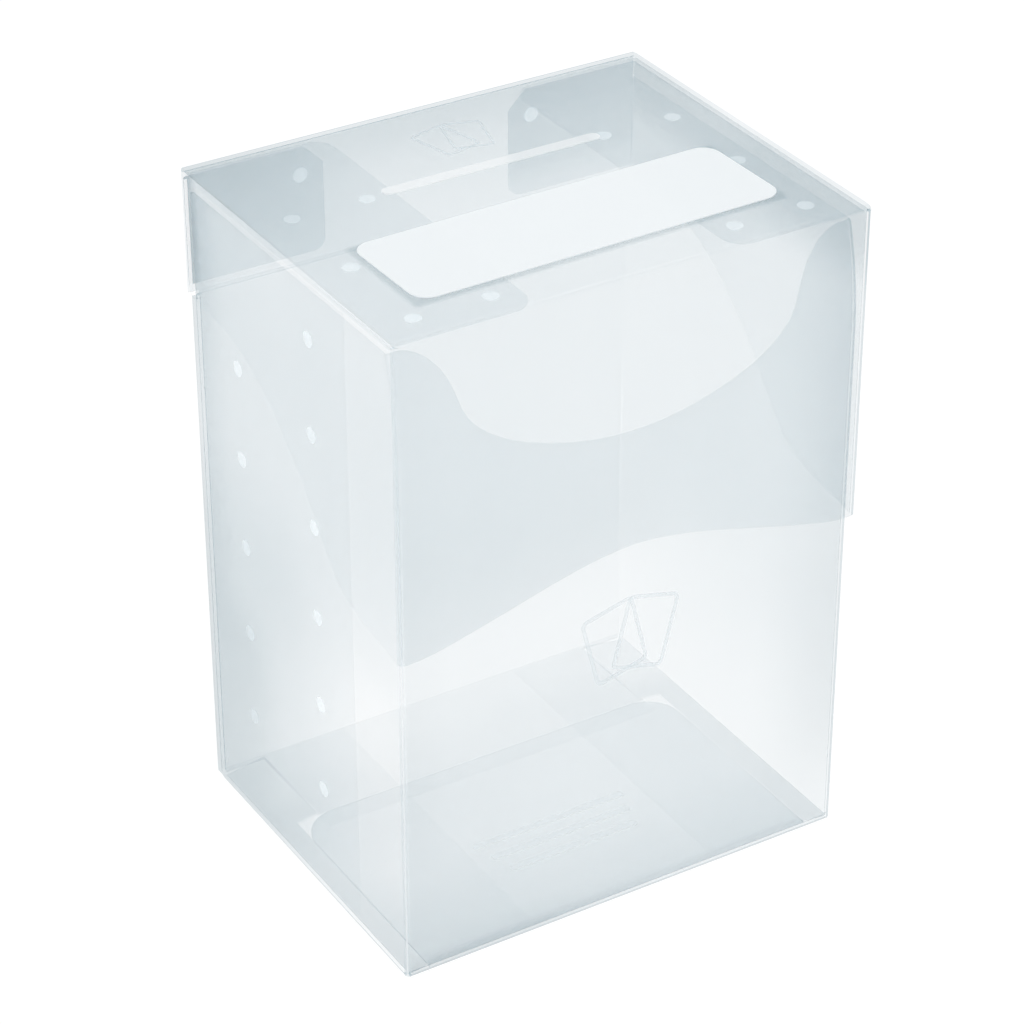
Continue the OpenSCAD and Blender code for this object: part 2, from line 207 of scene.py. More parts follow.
class SheetMesh:
    """Mesh under construction: closed strips of sheet, outlines and spots, in millimetres."""

    def __init__(self) -> None:
        """Starts with nothing in it."""
        self.bm = bmesh.new()
        self.shade = self.bm.verts.layers.float.new(SHADE)
        self.white = self.bm.verts.layers.float.new(WHITE)

    def strip(
        self,
        columns: Sequence[Column],
        place: Place,
        rims: Iterable[Rim] | dict[Rim, int] = (),
        shade: Mask | None = None,
        white: Mask | None = None,
        rounding: float = 0.14,
    ) -> None:
        """Adds a strip of sheet made from columns of points on its two faces.

        A rim that isn't cut runs on into the next piece of the same sheet, so it has no end face.

        Args:
            columns: each column's place across the strip and its points along it.
            place: gives the point at (across, along, 0 on the outer face to 1 on the inner).
            rims: the rims that are cut edges, which are slightly rounded, or each with the
                first column that it is cut at.
            shade: how deep in painted shade a point is, from 0 to 1; below 0 it is painted light that clears
                the sheet.
            white: how stress-whitened a point is, from 0 to 1, with a painted highlight along the near
                folds.
            rounding: the cut edges' rounding.
        """
        bm = self.bm
        grid: dict[tuple[int, int, int], bmesh.types.BMVert] = {}
        rows = len(columns[0][1])
        for i, (u, along) in enumerate(columns):
            for j, v in enumerate(along):
                for w in (0, 1):
                    vert = bm.verts.new(place(u, v, w))
                    vert[self.shade] = shade(u, v) if shade else 0
                    vert[self.white] = white(u, v) if white else 0
                    grid[i, j, w] = vert
        last_i, last_j = len(columns) - 1, rows - 1
        faces = []
        for i in range(last_i):
            for j in range(last_j):
                corners = ((i, j), (i + 1, j), (i + 1, j + 1), (i, j + 1))
                faces.append(bm.faces.new([grid[a, b, 0] for a, b in corners]))
                faces.append(bm.faces.new([grid[a, b, 1] for a, b in reversed(corners)]))
        borders = {
            Rim.LOW: [(i, 0) for i in range(last_i + 1)],
            Rim.HIGH: [(i, last_j) for i in range(last_i, -1, -1)],
            Rim.FIRST: [(0, j) for j in range(last_j, -1, -1)],
            Rim.LAST: [(last_i, j) for j in range(last_j + 1)],
        }
        sharp = []
        cut = rims if isinstance(rims, dict) else {rim: 0 for rim in rims}
        for rim, first in cut.items():
            for a, b in zip(borders[rim], borders[rim][1:]):
                if min(a[0], b[0]) < first:
                    continue
                faces.append(bm.faces.new([grid[(*b, 0)], grid[(*a, 0)], grid[(*a, 1)], grid[(*b, 1)]]))
                sharp.extend(bm.edges.get((grid[(*a, w)], grid[(*b, w)])) for w in (0, 1))
        for face in faces:
            face.smooth = True
        middle = columns[last_i // 2]
        v = middle[1][last_j // 2]
        outward = Vector(place(middle[0], v, 0)) - Vector(place(middle[0], v, 1))
        probe = faces[2 * (last_i // 2 * last_j + last_j // 2)]
        probe.normal_update()
        if probe.normal.dot(outward) < 0:
            bmesh.ops.reverse_faces(bm, faces=faces)
        if sharp:
            bmesh.ops.bevel(
                bm, geom=sharp, offset=rounding, segments=2, profile=0.6, affect="EDGES",
                clamp_overlap=True,
            )

    def plate(self, outline: Sequence[tuple[float, float]], place: Place, rounding: float) -> None:
        """Adds a thin closed plate inside an outline, its upper edge rounded over.

        Args:
            outline: its outline's points.
            place: gives the point at (across, along, 0 at its foot to 1 at its top).
            rounding: how far in from the outline its flat top begins.
        """
        rings = [(0.0, 0.0), (0.0, 0.55), (0.3, 0.87), (1.0, 1.0)]
        loops = []
        count = len(outline)
        for inward, height in rings:
            loop = []
            for k, (x, y) in enumerate(outline):
                ax, ay = outline[k - 1]
                bx, by = outline[(k + 1) % count]
                length = math.hypot(bx - ax, by - ay) or 1
                nx, ny = -(by - ay) / length, (bx - ax) / length
                reach = inward * rounding
                loop.append(self.bm.verts.new(place(x + nx * reach, y + ny * reach, height)))
            loops.append(loop)
        faces = [self.bm.faces.new(list(reversed(loops[0])))]
        for low, high in zip(loops, loops[1:]):
            for k in range(count):
                n = (k + 1) % count
                faces.append(self.bm.faces.new([low[k], low[n], high[n], high[k]]))
        faces.append(self.bm.faces.new(loops[-1]))
        for face in faces[1:-1]:
            face.smooth = True
        bmesh.ops.recalc_face_normals(self.bm, faces=faces)
        for loop in loops:
            for vert in loop:
                vert[self.white] = 1

    def spot(self, centre: Vector, out: Vector, radius: float, height: float) -> None:
        """Adds one weld spot: a low dome with a shallow dimple in its middle.

        Args:
            centre: the middle of its foot.
            out: the direction it stands out in.
            radius: its radius.
            height: its height.
        """
        turn = out.to_track_quat("Z", "Y").to_matrix()
        profile = [(1.0, 0.0), (0.94, 0.42), (0.82, 0.82), (0.66, 1.0), (0.46, 0.88), (0.24, 0.66)]
        sides = 28
        rings = []
        for share, rise in profile:
            ring = []
            for k in range(sides):
                a = math.tau * k / sides
                out_by = radius * share
                offset = Vector((out_by * math.cos(a), out_by * math.sin(a), height * rise))
                ring.append(self.bm.verts.new(centre + turn @ offset))
            rings.append(ring)
        top = self.bm.verts.new(centre + turn @ Vector((0, 0, height * 0.6)))
        faces = [self.bm.faces.new(list(reversed(rings[0])))]
        for low, high in zip(rings, rings[1:]):
            for k in range(sides):
                n = (k + 1) % sides
                faces.append(self.bm.faces.new([low[k], low[n], high[n], high[k]]))
        for k in range(sides):
            faces.append(self.bm.faces.new([rings[-1][k], rings[-1][(k + 1) % sides], top]))
        for face in faces[1:]:
            face.smooth = True
        for vert in [v for ring in rings for v in ring] + [top]:
            vert[self.white] = 1

    def finish(self, name: str) -> bpy.types.Object:
        """Turns the mesh into an object in metres.

        Args:
            name: the piece's name.

        Returns:
            The new object, linked to the scene.
        """
        bmesh.ops.scale(self.bm, vec=(MM, MM, MM), verts=self.bm.verts)
        mesh = bpy.data.meshes.new(name)
        self.bm.to_mesh(mesh)
        self.bm.free()
        piece = bpy.data.objects.new(name, mesh)
        bpy.context.scene.collection.objects.link(piece)
        return piece


@dataclass(frozen=True)
class Sizes:
    """The box's measures in millimetres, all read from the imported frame."""

    sheet: float
    lid_x: float
    lid_edge_x: float
    front_y: float
    back_y: float
    top: float
    hinge_z: float
    body_x: float
    seam_x: float
    wall_y: float
    fold_r: float
    wall_top: float
    lower_top: float
    strip_z: float
    flap_top: float
    flap_low_z: float

    @classmethod
    def from_frame(cls) -> "Sizes":
        """Measures the frame's nodes and its joint.

        Returns:
            The box's measures.
        """
        back = node_box("back_wall")
        flap = node_box("lid_right_flap")
        wall = node_box("right_side_wall")
        strip = node_box("lid_back_strip")
        fold = node_box("front_right_fold")
        body_x = wall[1].x
        sheet = back[1].y - back[0].y
        joint = frame["record"]["behaviour"]["joints"][0]
        return cls(
            sheet=sheet,
            lid_x=flap[1].x,
            lid_edge_x=strip[1].x,
            front_y=node_box("lid_front_flap")[0].y,
            back_y=back[1].y,
            top=node_box("lid_top_panel")[0].z + sheet,
            hinge_z=joint["pos_m"][2] / MM,
            body_x=body_x,
            seam_x=-node_box("seam_flap")[0].x,
            wall_y=fold[0].y,
            fold_r=body_x - back[1].x,
            wall_top=fold[1].z,
            lower_top=back[1].z,
            strip_z=strip[0].z,
            flap_top=flap[1].z,
            flap_low_z=node_box("lid_front_flap")[0].z,
        )

    @property
    def swing_r(self) -> float:
        """The front wall's outer radius about the hinge."""
        return self.back_y - self.wall_y

    def swing_y(self, radius: float, z: float) -> float:
        """Gives where a face at this radius about the hinge stands at a height.

        Args:
            radius: its distance from the hinge, straight in front of it.
            z: the height.

        Returns:
            Its place along Y.
        """
        rise = max(z - self.hinge_z, 0)
        return self.back_y - math.sqrt(radius * radius - rise * rise)


def node_box(node: str) -> tuple[Vector, Vector]:
    """Gives a CAD node's lowest and highest corners in millimetres."""
    low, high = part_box(node)
    return low / MM, high / MM


def node_spots(node: str) -> list[tuple[Vector, Vector]]:
    """Finds the separate solids of a CAD node.

    Args:
        node: its name.

    Returns:
        Each solid's lowest and highest corners in millimetres.
    """
    bm = bmesh.new()
    bm.from_mesh(frame["nodes"][node].data)
    bmesh.ops.remove_doubles(bm, verts=bm.verts, dist=1e-6)
    bm.verts.ensure_lookup_table()
    left, found = set(bm.verts), []
    while left:
        island, edge = [], [left.pop()]
        while edge:
            vert = edge.pop()
            island.append(vert.co.copy() / MM)
            for link in vert.link_edges:
                other = link.other_vert(vert)
                if other in left:
                    left.remove(other)
                    edge.append(other)
        found.append((Vector(map(min, *island)), Vector(map(max, *island))))
    bm.free()
    return sorted(found, key=lambda pair: tuple(round(c, 2) for c in pair[0]))


# ---------------------------------------------------------------- finishes


class Group(Enum):
    """The shader node groups that more than one finish uses."""

    GRAIN = "fine_grain"
    HAZE_AND_SHADE = "milky_haze_and_painted_shade"
    EDGE = "painted_shade_and_whitening"


def add_sockets(tree: bpy.types.NodeTree, into: dict[str, float], out: Sequence[str]) -> None:
    """Gives a node group its named inputs and outputs.

    Args:
        tree: the group.
        into: each input's name and default.
        out: the outputs' names.
    """
    for name, value in into.items():
        socket = tree.interface.new_socket(name, in_out="INPUT", socket_type="NodeSocketFloat")
        socket.default_value = value
    for name in out:
        tree.interface.new_socket(name, in_out="OUTPUT", socket_type="NodeSocketFloat")


def math_node(
    tree: bpy.types.NodeTree, operation: str, first: object, second: object, clamp: bool = False
) -> bpy.types.NodeSocket:
    """Adds one sum.

    Args:
        tree: where it goes.
        operation: the Math node's operation.
        first: a socket or a number.
        second: a socket or a number.
        clamp: whether the answer is kept from 0 to 1.

    Returns:
        The answer's socket.
    """
    node = tree.nodes.new("ShaderNodeMath")
    node.operation = operation
    node.use_clamp = clamp
    for socket, value in zip(node.inputs, (first, second)):
        if isinstance(value, bpy.types.NodeSocket):
            tree.links.new(value, socket)
        else:
            socket.default_value = value
    return node.outputs[0]


def noise_node(
    tree: bpy.types.NodeTree, scale: float, detail: float, roughness: float = 0.5, stretch: Point = (1, 1, 1)
) -> bpy.types.NodeSocket:
    """Adds noise in the object's own space.

    Args:
        tree: where it goes.
        scale: how fine it is, in cycles a metre.
        detail: its layers.
        roughness: how strong its finer layers are.
        stretch: how much finer it is along X, Y and Z.

    Returns:
        The noise's value socket.
    """
    coord = tree.nodes.new("ShaderNodeTexCoord")
    mapping = tree.nodes.new("ShaderNodeMapping")
    mapping.inputs["Scale"].default_value = stretch
    tree.links.new(coord.outputs["Object"], mapping.inputs["Vector"])
    texture = tree.nodes.new("ShaderNodeTexNoise")
    texture.inputs["Scale"].default_value = scale
    texture.inputs["Detail"].default_value = detail
    texture.inputs["Roughness"].default_value = roughness
    tree.links.new(mapping.outputs["Vector"], texture.inputs["Vector"])
    return texture.outputs["Fac"]


def grain_group() -> bpy.types.NodeTree:
    """Builds the fine moulded grain of the sheet: a height, a roughness and soft scuffs."""
    tree = bpy.data.node_groups.new(Group.GRAIN.value, "ShaderNodeTree")
    add_sockets(tree, {"Roughness": 0.4, "Spread": 0.06}, ("Height", "Roughness"))
    into, out = tree.nodes.new("NodeGroupInput"), tree.nodes.new("NodeGroupOutput")
    fine = noise_node(tree, 5200, 2, 0.6)
    cloud = noise_node(tree, 90, 3, 0.55)
    height = math_node(
        tree, "ADD", math_node(tree, "MULTIPLY", fine, 0.6), math_node(tree, "MULTIPLY", cloud, 0.4)
    )
    swing = math_node(tree, "MULTIPLY", math_node(tree, "SUBTRACT", cloud, 0.5), into.outputs["Spread"])
    rough = math_node(tree, "ADD", into.outputs["Roughness"], swing, clamp=True)
    tree.links.new(height, out.inputs["Height"])
    tree.links.new(rough, out.inputs["Roughness"])
    return tree


def haze_and_shade_group() -> bpy.types.NodeTree:
    """Builds the sheet's slightly uneven milkiness: long soft streaks and faint clouds, thickened by painted
    shade and by whitening with painted highlights.
    """
    tree = bpy.data.node_groups.new(Group.HAZE_AND_SHADE.value, "ShaderNodeTree")
    numbers = {"Density": 0.3, "Unevenness": 0.1, "Painted_Shade": 0.2, "Whitening_And_Highlight": 0.3}
    add_sockets(tree, numbers, ("Density", "Cloud"))
    into, out = tree.nodes.new("NodeGroupInput"), tree.nodes.new("NodeGroupOutput")
    streaks = noise_node(tree, 55, 2, 0.5, (1.0, 1.0, 0.18))
    cloud = noise_node(tree, 28, 3, 0.55)
    mixed = math_node(tree, "MULTIPLY", math_node(tree, "ADD", streaks, cloud), 0.5)
    swing = math_node(tree, "MULTIPLY", math_node(tree, "SUBTRACT", mixed, 0.5), into.outputs["Unevenness"])
    shade = attribute(tree, SHADE)
    white = attribute(tree, WHITE)
    density = math_node(tree, "ADD", into.outputs["Density"], swing)
    # painted shade thickens the sheet by its mask, then whitening with painted highlights does
    density = math_node(tree, "ADD", density, math_node(tree, "MULTIPLY", shade, into.outputs["Painted_Shade"]))
    density = math_node(
        tree, "ADD", density, math_node(tree, "MULTIPLY", white, into.outputs["Whitening_And_Highlight"]), clamp=True
    )
    tree.links.new(density, out.inputs["Density"])
    tree.links.new(mixed, out.inputs["Cloud"])
    return tree


def edge_group() -> bpy.types.NodeTree:
    """Builds the tint masks: how much painted shade shows, and how much whitening with painted highlights.
    """
    tree = bpy.data.node_groups.new(Group.EDGE.value, "ShaderNodeTree")
    add_sockets(tree, {"Shade": 1.0, "White": 1.0, "Breakup": 0.3}, ("Shade", "White"))
    into, out = tree.nodes.new("NodeGroupInput"), tree.nodes.new("NodeGroupOutput")
    speckle = noise_node(tree, 2600, 3, 0.6)
    broken = math_node(tree, "MULTIPLY", math_node(tree, "SUBTRACT", speckle, 0.5), into.outputs["Breakup"])
    for name, layer in (("Shade", SHADE), ("White", WHITE)):
        mask = math_node(tree, "MULTIPLY", attribute(tree, layer), into.outputs[name])
        mask = math_node(tree, "MULTIPLY", mask, math_node(tree, "ADD", broken, 1.0), clamp=True)
        tree.links.new(mask, out.inputs[name])
    return tree


def attribute(tree: bpy.types.NodeTree, name: str) -> bpy.types.NodeSocket:
    """Adds the reading of a mask that the meshes carry, and gives its value's socket."""
    node = tree.nodes.new("ShaderNodeAttribute")
    node.attribute_name = name
    return node.outputs["Fac"]


@dataclass(frozen=True)
class PlasticFinish:
    """A frosted or printed plastic surface."""

    name: str
    colour: Point
    # painted shade: the darker colour and extra density where the shade mask is high
    painted_shade_colour: Point
    # whitening: the pale colour and extra density of stress whitening, marks, welds and label, with painted
    # highlights along the near folds
    whitening_and_highlight_colour: Point
    density: float
    unevenness: float
    painted_shade_density: float
    whitening_and_highlight_density: float
    roughness: float
    bump: float
    specular: float = 0.02
    # painted glow: light the part gives off though it is no lamp
    painted_glow: float = 0.0

    def make(self, groups: dict[Group, bpy.types.NodeTree]) -> bpy.types.Material:
        """Builds the material.

        Args:
            groups: the shader node groups by name.

        Returns:
            The material.
        """
        material = bpy.data.materials.new(self.name)
        material.use_nodes = True
        tree = material.node_tree
        shader = tree.nodes["Principled BSDF"]
        shader.inputs["IOR"].default_value = 1.49
        shader.inputs["Specular IOR Level"].default_value = self.specular
        # painted glow: a pale light the part gives off so it reads lighter than the sheet around it
        shader.inputs["Emission Color"].default_value = (0.93, 0.98, 1.0, 1)
        shader.inputs["Emission Strength"].default_value = self.painted_glow
        grain = self._group(tree, groups[Group.GRAIN], {"Roughness": self.roughness, "Spread": 0.08})
        haze = self._group(tree, groups[Group.HAZE_AND_SHADE], {
            "Density": self.density, "Unevenness": self.unevenness,
            "Painted_Shade": self.painted_shade_density, "Whitening_And_Highlight": self.whitening_and_highlight_density,
        })
        edge = self._group(tree, groups[Group.EDGE], {"Shade": 1.0, "White": 1.0, "Breakup": 0.02})
        base = self._mix(tree, haze.outputs["Cloud"], self.colour, tuple(c * 0.97 for c in self.colour))
        # painted shade darkens the colour by the shade mask
        base = self._mix(tree, edge.outputs["Shade"], base, self.painted_shade_colour)
        # whitening with painted highlights then tints it by its mask
        base = self._mix(tree, edge.outputs["White"], base, self.whitening_and_highlight_colour)
        tree.links.new(base, shader.inputs["Base Color"])
        tree.links.new(grain.outputs["Roughness"], shader.inputs["Roughness"])
        bump = tree.nodes.new("ShaderNodeBump")
        bump.inputs["Strength"].default_value = self.bump
        bump.inputs["Distance"].default_value = 0.00002
        tree.links.new(grain.outputs["Height"], bump.inputs["Height"])
        tree.links.new(bump.outputs["Normal"], shader.inputs["Normal"])
        facing = tree.nodes.new("ShaderNodeNewGeometry")
        front = math_node(tree, "SUBTRACT", 1.0, facing.outputs["Backfacing"])
        alpha = math_node(tree, "MULTIPLY", haze.outputs["Density"], front)
        tree.links.new(alpha, shader.inputs["Alpha"])
        return material

    @staticmethod
    def _group(
        tree: bpy.types.NodeTree, group: bpy.types.NodeTree, values: dict[str, float]
    ) -> bpy.types.Node:
        """Places a node group with its own values, and gives its node."""
        node = tree.nodes.new("ShaderNodeGroup")
        node.node_tree = group
        for name, value in values.items():
            node.inputs[name].default_value = value
        return node

    @staticmethod
    def _mix(
        tree: bpy.types.NodeTree, factor: bpy.types.NodeSocket, first: object, second: object
    ) -> bpy.types.NodeSocket:
        """Mixes two colours by a mask.

        Args:
            tree: where it goes.
            factor: the mask.
            first: the colour or socket where the mask is 0.
            second: the colour or socket where the mask is 1.

        Returns:
            The mixed colour's socket.
        """
        node = tree.nodes.new("ShaderNodeMix")
        node.data_type = "RGBA"
        tree.links.new(factor, node.inputs["Factor"])
        for socket, value in ((node.inputs[6], first), (node.inputs[7], second)):
            if isinstance(value, bpy.types.NodeSocket):
                tree.links.new(value, socket)
            else:
                socket.default_value = (*value, 1)
        return node.outputs[2]


# copies of one frosted sheet that differ only in density and in how deep their painted shade goes, so each
# side, lap, tab, fold and the bottom gets its own tone of painted light or shade
FROSTED = PlasticFinish(
    name="frosted_sheet", colour=(0.38, 0.52, 0.59), painted_shade_colour=(0.22, 0.33, 0.38), whitening_and_highlight_colour=(0.96, 0.98, 0.99),
    density=0.165, unevenness=0.05, painted_shade_density=0.14, whitening_and_highlight_density=0.3, roughness=0.42, bump=0.1,
)
SIDE_SHEET = replace(FROSTED, name="frosted_sheet_sides", density=0.15, painted_shade_density=0.3)
LAPPED_SHEET = replace(FROSTED, name="frosted_sheet_laps", density=0.055, painted_shade_density=0.2)
TOP_SHEET = replace(FROSTED, name="frosted_sheet_top", density=0.2, painted_shade_density=0.25)
TUCKED_SHEET = replace(FROSTED, name="frosted_sheet_tucked_tabs", density=0.15, painted_shade_density=0.3)
BOTTOM_SHEET = replace(FROSTED, name="frosted_sheet_bottom", density=0.15, painted_shade_density=0.35)
UNDER_SHEET = replace(FROSTED, name="frosted_sheet_under_flaps", density=0.035, painted_shade_density=0.26)
CREASED = replace(
    FROSTED, name="creased_sheet", density=0.17, painted_shade_density=0.5, whitening_and_highlight_density=0.45, specular=0.0
)
# the weld spots carry a painted glow that lifts them above the sheet around them
WELDED = PlasticFinish(
    name="weld_spot", colour=(0.9, 0.93, 0.95), painted_shade_colour=(0.7, 0.76, 0.79), whitening_and_highlight_colour=(0.97, 0.98, 0.99),
    density=0.22, unevenness=0.1, painted_shade_density=0.0, whitening_and_highlight_density=0.05, roughness=0.5, bump=0.1, painted_glow=0.6,
    specular=0.0,
)
LABEL = PlasticFinish(
    name="label_film", colour=(0.87, 0.92, 0.95), painted_shade_colour=(0.72, 0.77, 0.8), whitening_and_highlight_colour=(0.9, 0.94, 0.96),
    density=0.93, unevenness=0.02, painted_shade_density=0.0, whitening_and_highlight_density=0.0, roughness=0.5, bump=0.12,
)
FINISHES = (
    FROSTED, SIDE_SHEET, LAPPED_SHEET, TOP_SHEET, TUCKED_SHEET, BOTTOM_SHEET, UNDER_SHEET, CREASED,
    WELDED, LABEL,
)


class Dresser:
    """Makes the finishes once and dresses each piece with its body and CAD nodes, and logs its slot."""

    def __init__(self) -> None:
        """Builds the node groups and the materials."""
        groups = {Group.GRAIN: grain_group(), Group.HAZE_AND_SHADE: haze_and_shade_group(), Group.EDGE: edge_group()}
        self.materials = {finish: finish.make(groups) for finish in FINISHES}

    def dress(
        self, mesh: SheetMesh, name: str, nodes: Sequence[str], body: Body | None, slot: Slot,
        finish: PlasticFinish,
    ) -> bpy.types.Object:
        """Turns a mesh into a finished piece.

        Args:
            mesh: the mesh.
            name: the piece's name.
            nodes: the CAD nodes it stands for.
            body: the body it rides on, or None where it is left on no body.
            slot: the record's slot, which is only logged.
            finish: its finish.

        Returns:
            The piece.
        """
        piece = mesh.finish(name)
        piece.data.materials.append(self.materials[finish])
        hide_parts(*nodes)
        if body:
            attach(piece, body.value)
        LOG.info("%s: %d faces, %s", name, len(piece.data.polygons), slot.value)
        return piece


# ---------------------------------------------------------------- sub-assemblies


def quarter(count: int = 8) -> list[float]:
    """Gives the angles of a fold's rows, from 0 to a right angle."""
    return spread(0, math.pi / 2, count)


def middle_line(angle: float, width: float = 0.45) -> float:
    """Gives 1 on a fold's middle line, falling to 0 at width either side of it."""
    return fade(abs(angle - math.pi / 4), width)


@dataclass
class CardOutlineMark:
    """The plain raised mark of two overlapping playing card outlines."""

    width: float
    centre: tuple[float, float]
    tilt: float = 14.0
    line_share: float = 0.07
    strength: float = 0.5

    def add(self, mesh: SheetMesh, place: Place) -> None:
        """Adds both card outlines as raised frames.

        Args:
            mesh: the mesh they join.
            place: gives the point at (across, along, 0 at the foot to 1 at the top).
        """
        half_w, half_h = self.width / 2, self.width * 0.675
        line = self.width * self.line_share
        for side in (-1, 1):
            turn = math.radians(-side * self.tilt)
            cos, sin = math.cos(turn), math.sin(turn)

            def set_down(x: float, y: float, h: float) -> Point:
                """Turns and shifts one card's point."""
                x += side * self.width * 0.3
                middle_x, middle_y = self.centre
                return place(middle_x + x * cos - y * sin, middle_y + x * sin + y * cos, h)

            outer = round_outline(half_w, half_h, self.width * 0.12)
            inner = round_outline(half_w - line, half_h - line, self.width * 0.06)
            self._frame(mesh, outer, inner, set_down)

    def _frame(
        self, mesh: SheetMesh, outer: Sequence[tuple[float, float]],
        inner: Sequence[tuple[float, float]], place: Place,
    ) -> None:
        """Adds a raised frame between two outlines with a rounded top."""
        count = len(outer)
        profile = [(0.0, 0.0), (0.06, 0.6), (0.3, 1.0), (0.7, 1.0), (0.94, 0.6), (1.0, 0.0)]
        rings = []
        for share, height in profile:
            rings.append([
                mesh.bm.verts.new(place(a[0] + (b[0] - a[0]) * share, a[1] + (b[1] - a[1]) * share, height))
                for a, b in zip(outer, inner)
            ])
        faces = []
        for low, high in zip(rings, rings[1:] + rings[:1]):
            for k in range(count):
                n = (k + 1) % count
                faces.append(mesh.bm.faces.new([low[k], low[n], high[n], high[k]]))
        bmesh.ops.recalc_face_normals(mesh.bm, faces=faces)
        for ring in rings:
            for vert in ring:
                vert[mesh.white] = self.strength


@dataclass(frozen=True)
class BodyShades:
    """Where painted shade makes the body's sheets denser and darker, and where a strength below 0 is painted
    light that makes them clearer.
    """

    # front wall: its foot by height and by width, its sides, and its lower half
    foot: Band = Band(4)
    foot_least: float = 0.25
    foot_left: Band = Band(10, -20, 0.75)
    right_edge: Band = Band(15, strength=0.55)
    right_least: float = 0.35
    right_rise: Band = Band(4, 20, 0.65)
    left_edge: Band = Band(8, strength=0.2)
    lower_half: Band = Band(52, 44, 0.08)
    # side walls: by distance from the back, by depth and by height
    right_painted_light: Band = Band(44, 2, -0.45)
    seam_edge: Band = Band(12)
    seam_edge_least: float = 0.4
    seam_edge_rise: Band = Band(50, 90, 0.35)
    seam_low: tuple[Band, Band] = (Band(-16, 8, 0.45), Band(66, 40))
    seam_middle: tuple[Band, Band] = (Band(30, 60, 0.12), Band(98, 80))
    seam_foot: tuple[Band, Band] = (Band(13, strength=0.35), Band(42, 28))
    seam_foot_y: float = 17.0
    front_painted_light: Band = Band(22, strength=-0.35)
    front_painted_light_z: tuple[Band, Band] = (Band(4, 18), Band(50, 34))
    # back wall
    back_edge: Band = Band(14, strength=0.3)
    back_painted_light: Band = Band(38, 2, -0.9)
    # upright folds: painted shade and painted light, and on the near front fold a whitened line that is
    # partly a painted highlight
    fold: float = 0.5
    fold_foot: Band = Band(6, strength=0.3)
    fold_line: float = 0.8
    fold_line_least: float = 0.2
    fold_line_rise: Band = Band(88, 50, 0.8)
    fold_painted_light: Band = Band(70, strength=-0.25)
    # bottom panel and flaps
    panel: float = 0.12
    panel_front: Band = Band(24, strength=0.34)
    panel_line: Band = Band(5)
    panel_line_flat: float = 0.05
    panel_line_fold: float = 0.35
    floor_left: Band = Band(6, -32, 0.15)
    back_flap: float = 0.25
    back_flap_front: Band = Band(16, strength=0.2)
    side_flap_fold: float = 1.5
    side_flap_left: float = 0.95
    side_flap_right: float = 0.75
    side_flap_least: float = 0.8
    side_flap_gain: float = 0.3
    side_flap_fade: float = 8.0


@dataclass(frozen=True)
class LidShades:
    """Where painted shade makes the lid's sheets denser and darker, and where whitened lines along the near
    folds are partly painted highlights.
    """

    # top panel: its sides and back, and the shadow under the label
    top_left: tuple[Band, Band] = (Band(22, strength=0.35), Band(-14, 10))
    top_right: tuple[Band, Band] = (Band(6, -10, 0.25), Band(16))
    top_back: Band = Band(36, strength=0.5)
    label_shadow: Band = Band(1.0, strength=0.9)
    label_shift: tuple[float, float] = (0.4, 0.55)
    # long folds and back strip
    back_fold: float = 0.6
    front_fold: Band = Band(12, strength=0.3)
    # the front fold's whitened line is partly a painted highlight
    front_fold_line: float = 0.1
    strip_top: Band = Band(8, strength=0.5)
    strip_left: Band = Band(12, strength=0.3)
    # front flap and its corners
    flap_right: Band = Band(13, strength=0.35)
    flap_low_left: tuple[Band, Band] = (Band(78, 62, 0.3), Band(8, -4))
    corner: float = 0.5
    corner_top: Band = Band(84, 92, 0.3)
    # the left corner's whitened line is partly a painted highlight
    corner_line: float = 0.25
    # side flaps
    left_flap: Band = Band(10, strength=0.1)
    right_flap_back: tuple[Band, Band] = (Band(-2, 22, 0.65), Band(66, 88))
    right_flap_top: Band = Band(82, 94, 1.4)
    right_flap_front: Band = Band(9, strength=0.3)
    # tabs
    top_tab_fold: float = 1.1
    top_tab: float = 0.2
    top_tab_front: Band = Band(8, -8, 0.3)
    # the left top tab's whitened fold line is partly a painted highlight
    top_tab_line: float = 0.15
    top_tab_line_front: Band = Band(22, -18, 0.5)
    back_tab_fold: float = 1.3
    back_tab_left: float = 0.15
    back_tab_right: float = 0.4
    back_tab_foot: float = 6.0


@dataclass
class SubAssembly:
    """Pieces that ride on one body, and the measures that they share in millimetres."""

    size: Sizes
    dresser: Dresser
    body: Body = Body.BOX
    layer_gap: float = 0.03
    mark_rise: float = 0.14
    mark_root: float = 0.03
    bar_rounding: float = 0.12
    sink: float = 0.08

    def add(
        self, mesh: SheetMesh, name: str, slot: Slot = Slot.SHEET, finish: PlasticFinish = FROSTED
    ) -> None:
        """Dresses one piece that stands for the CAD node of the same name."""
        self.dresser.dress(mesh, f"{name}_sheet", [name], self.body, slot, finish)

    def proud(self, share: float) -> float:
        """Gives how far a raised mark stands out, from its root in the sheet to its top."""
        return (self.mark_rise + self.mark_root) * share - self.mark_root


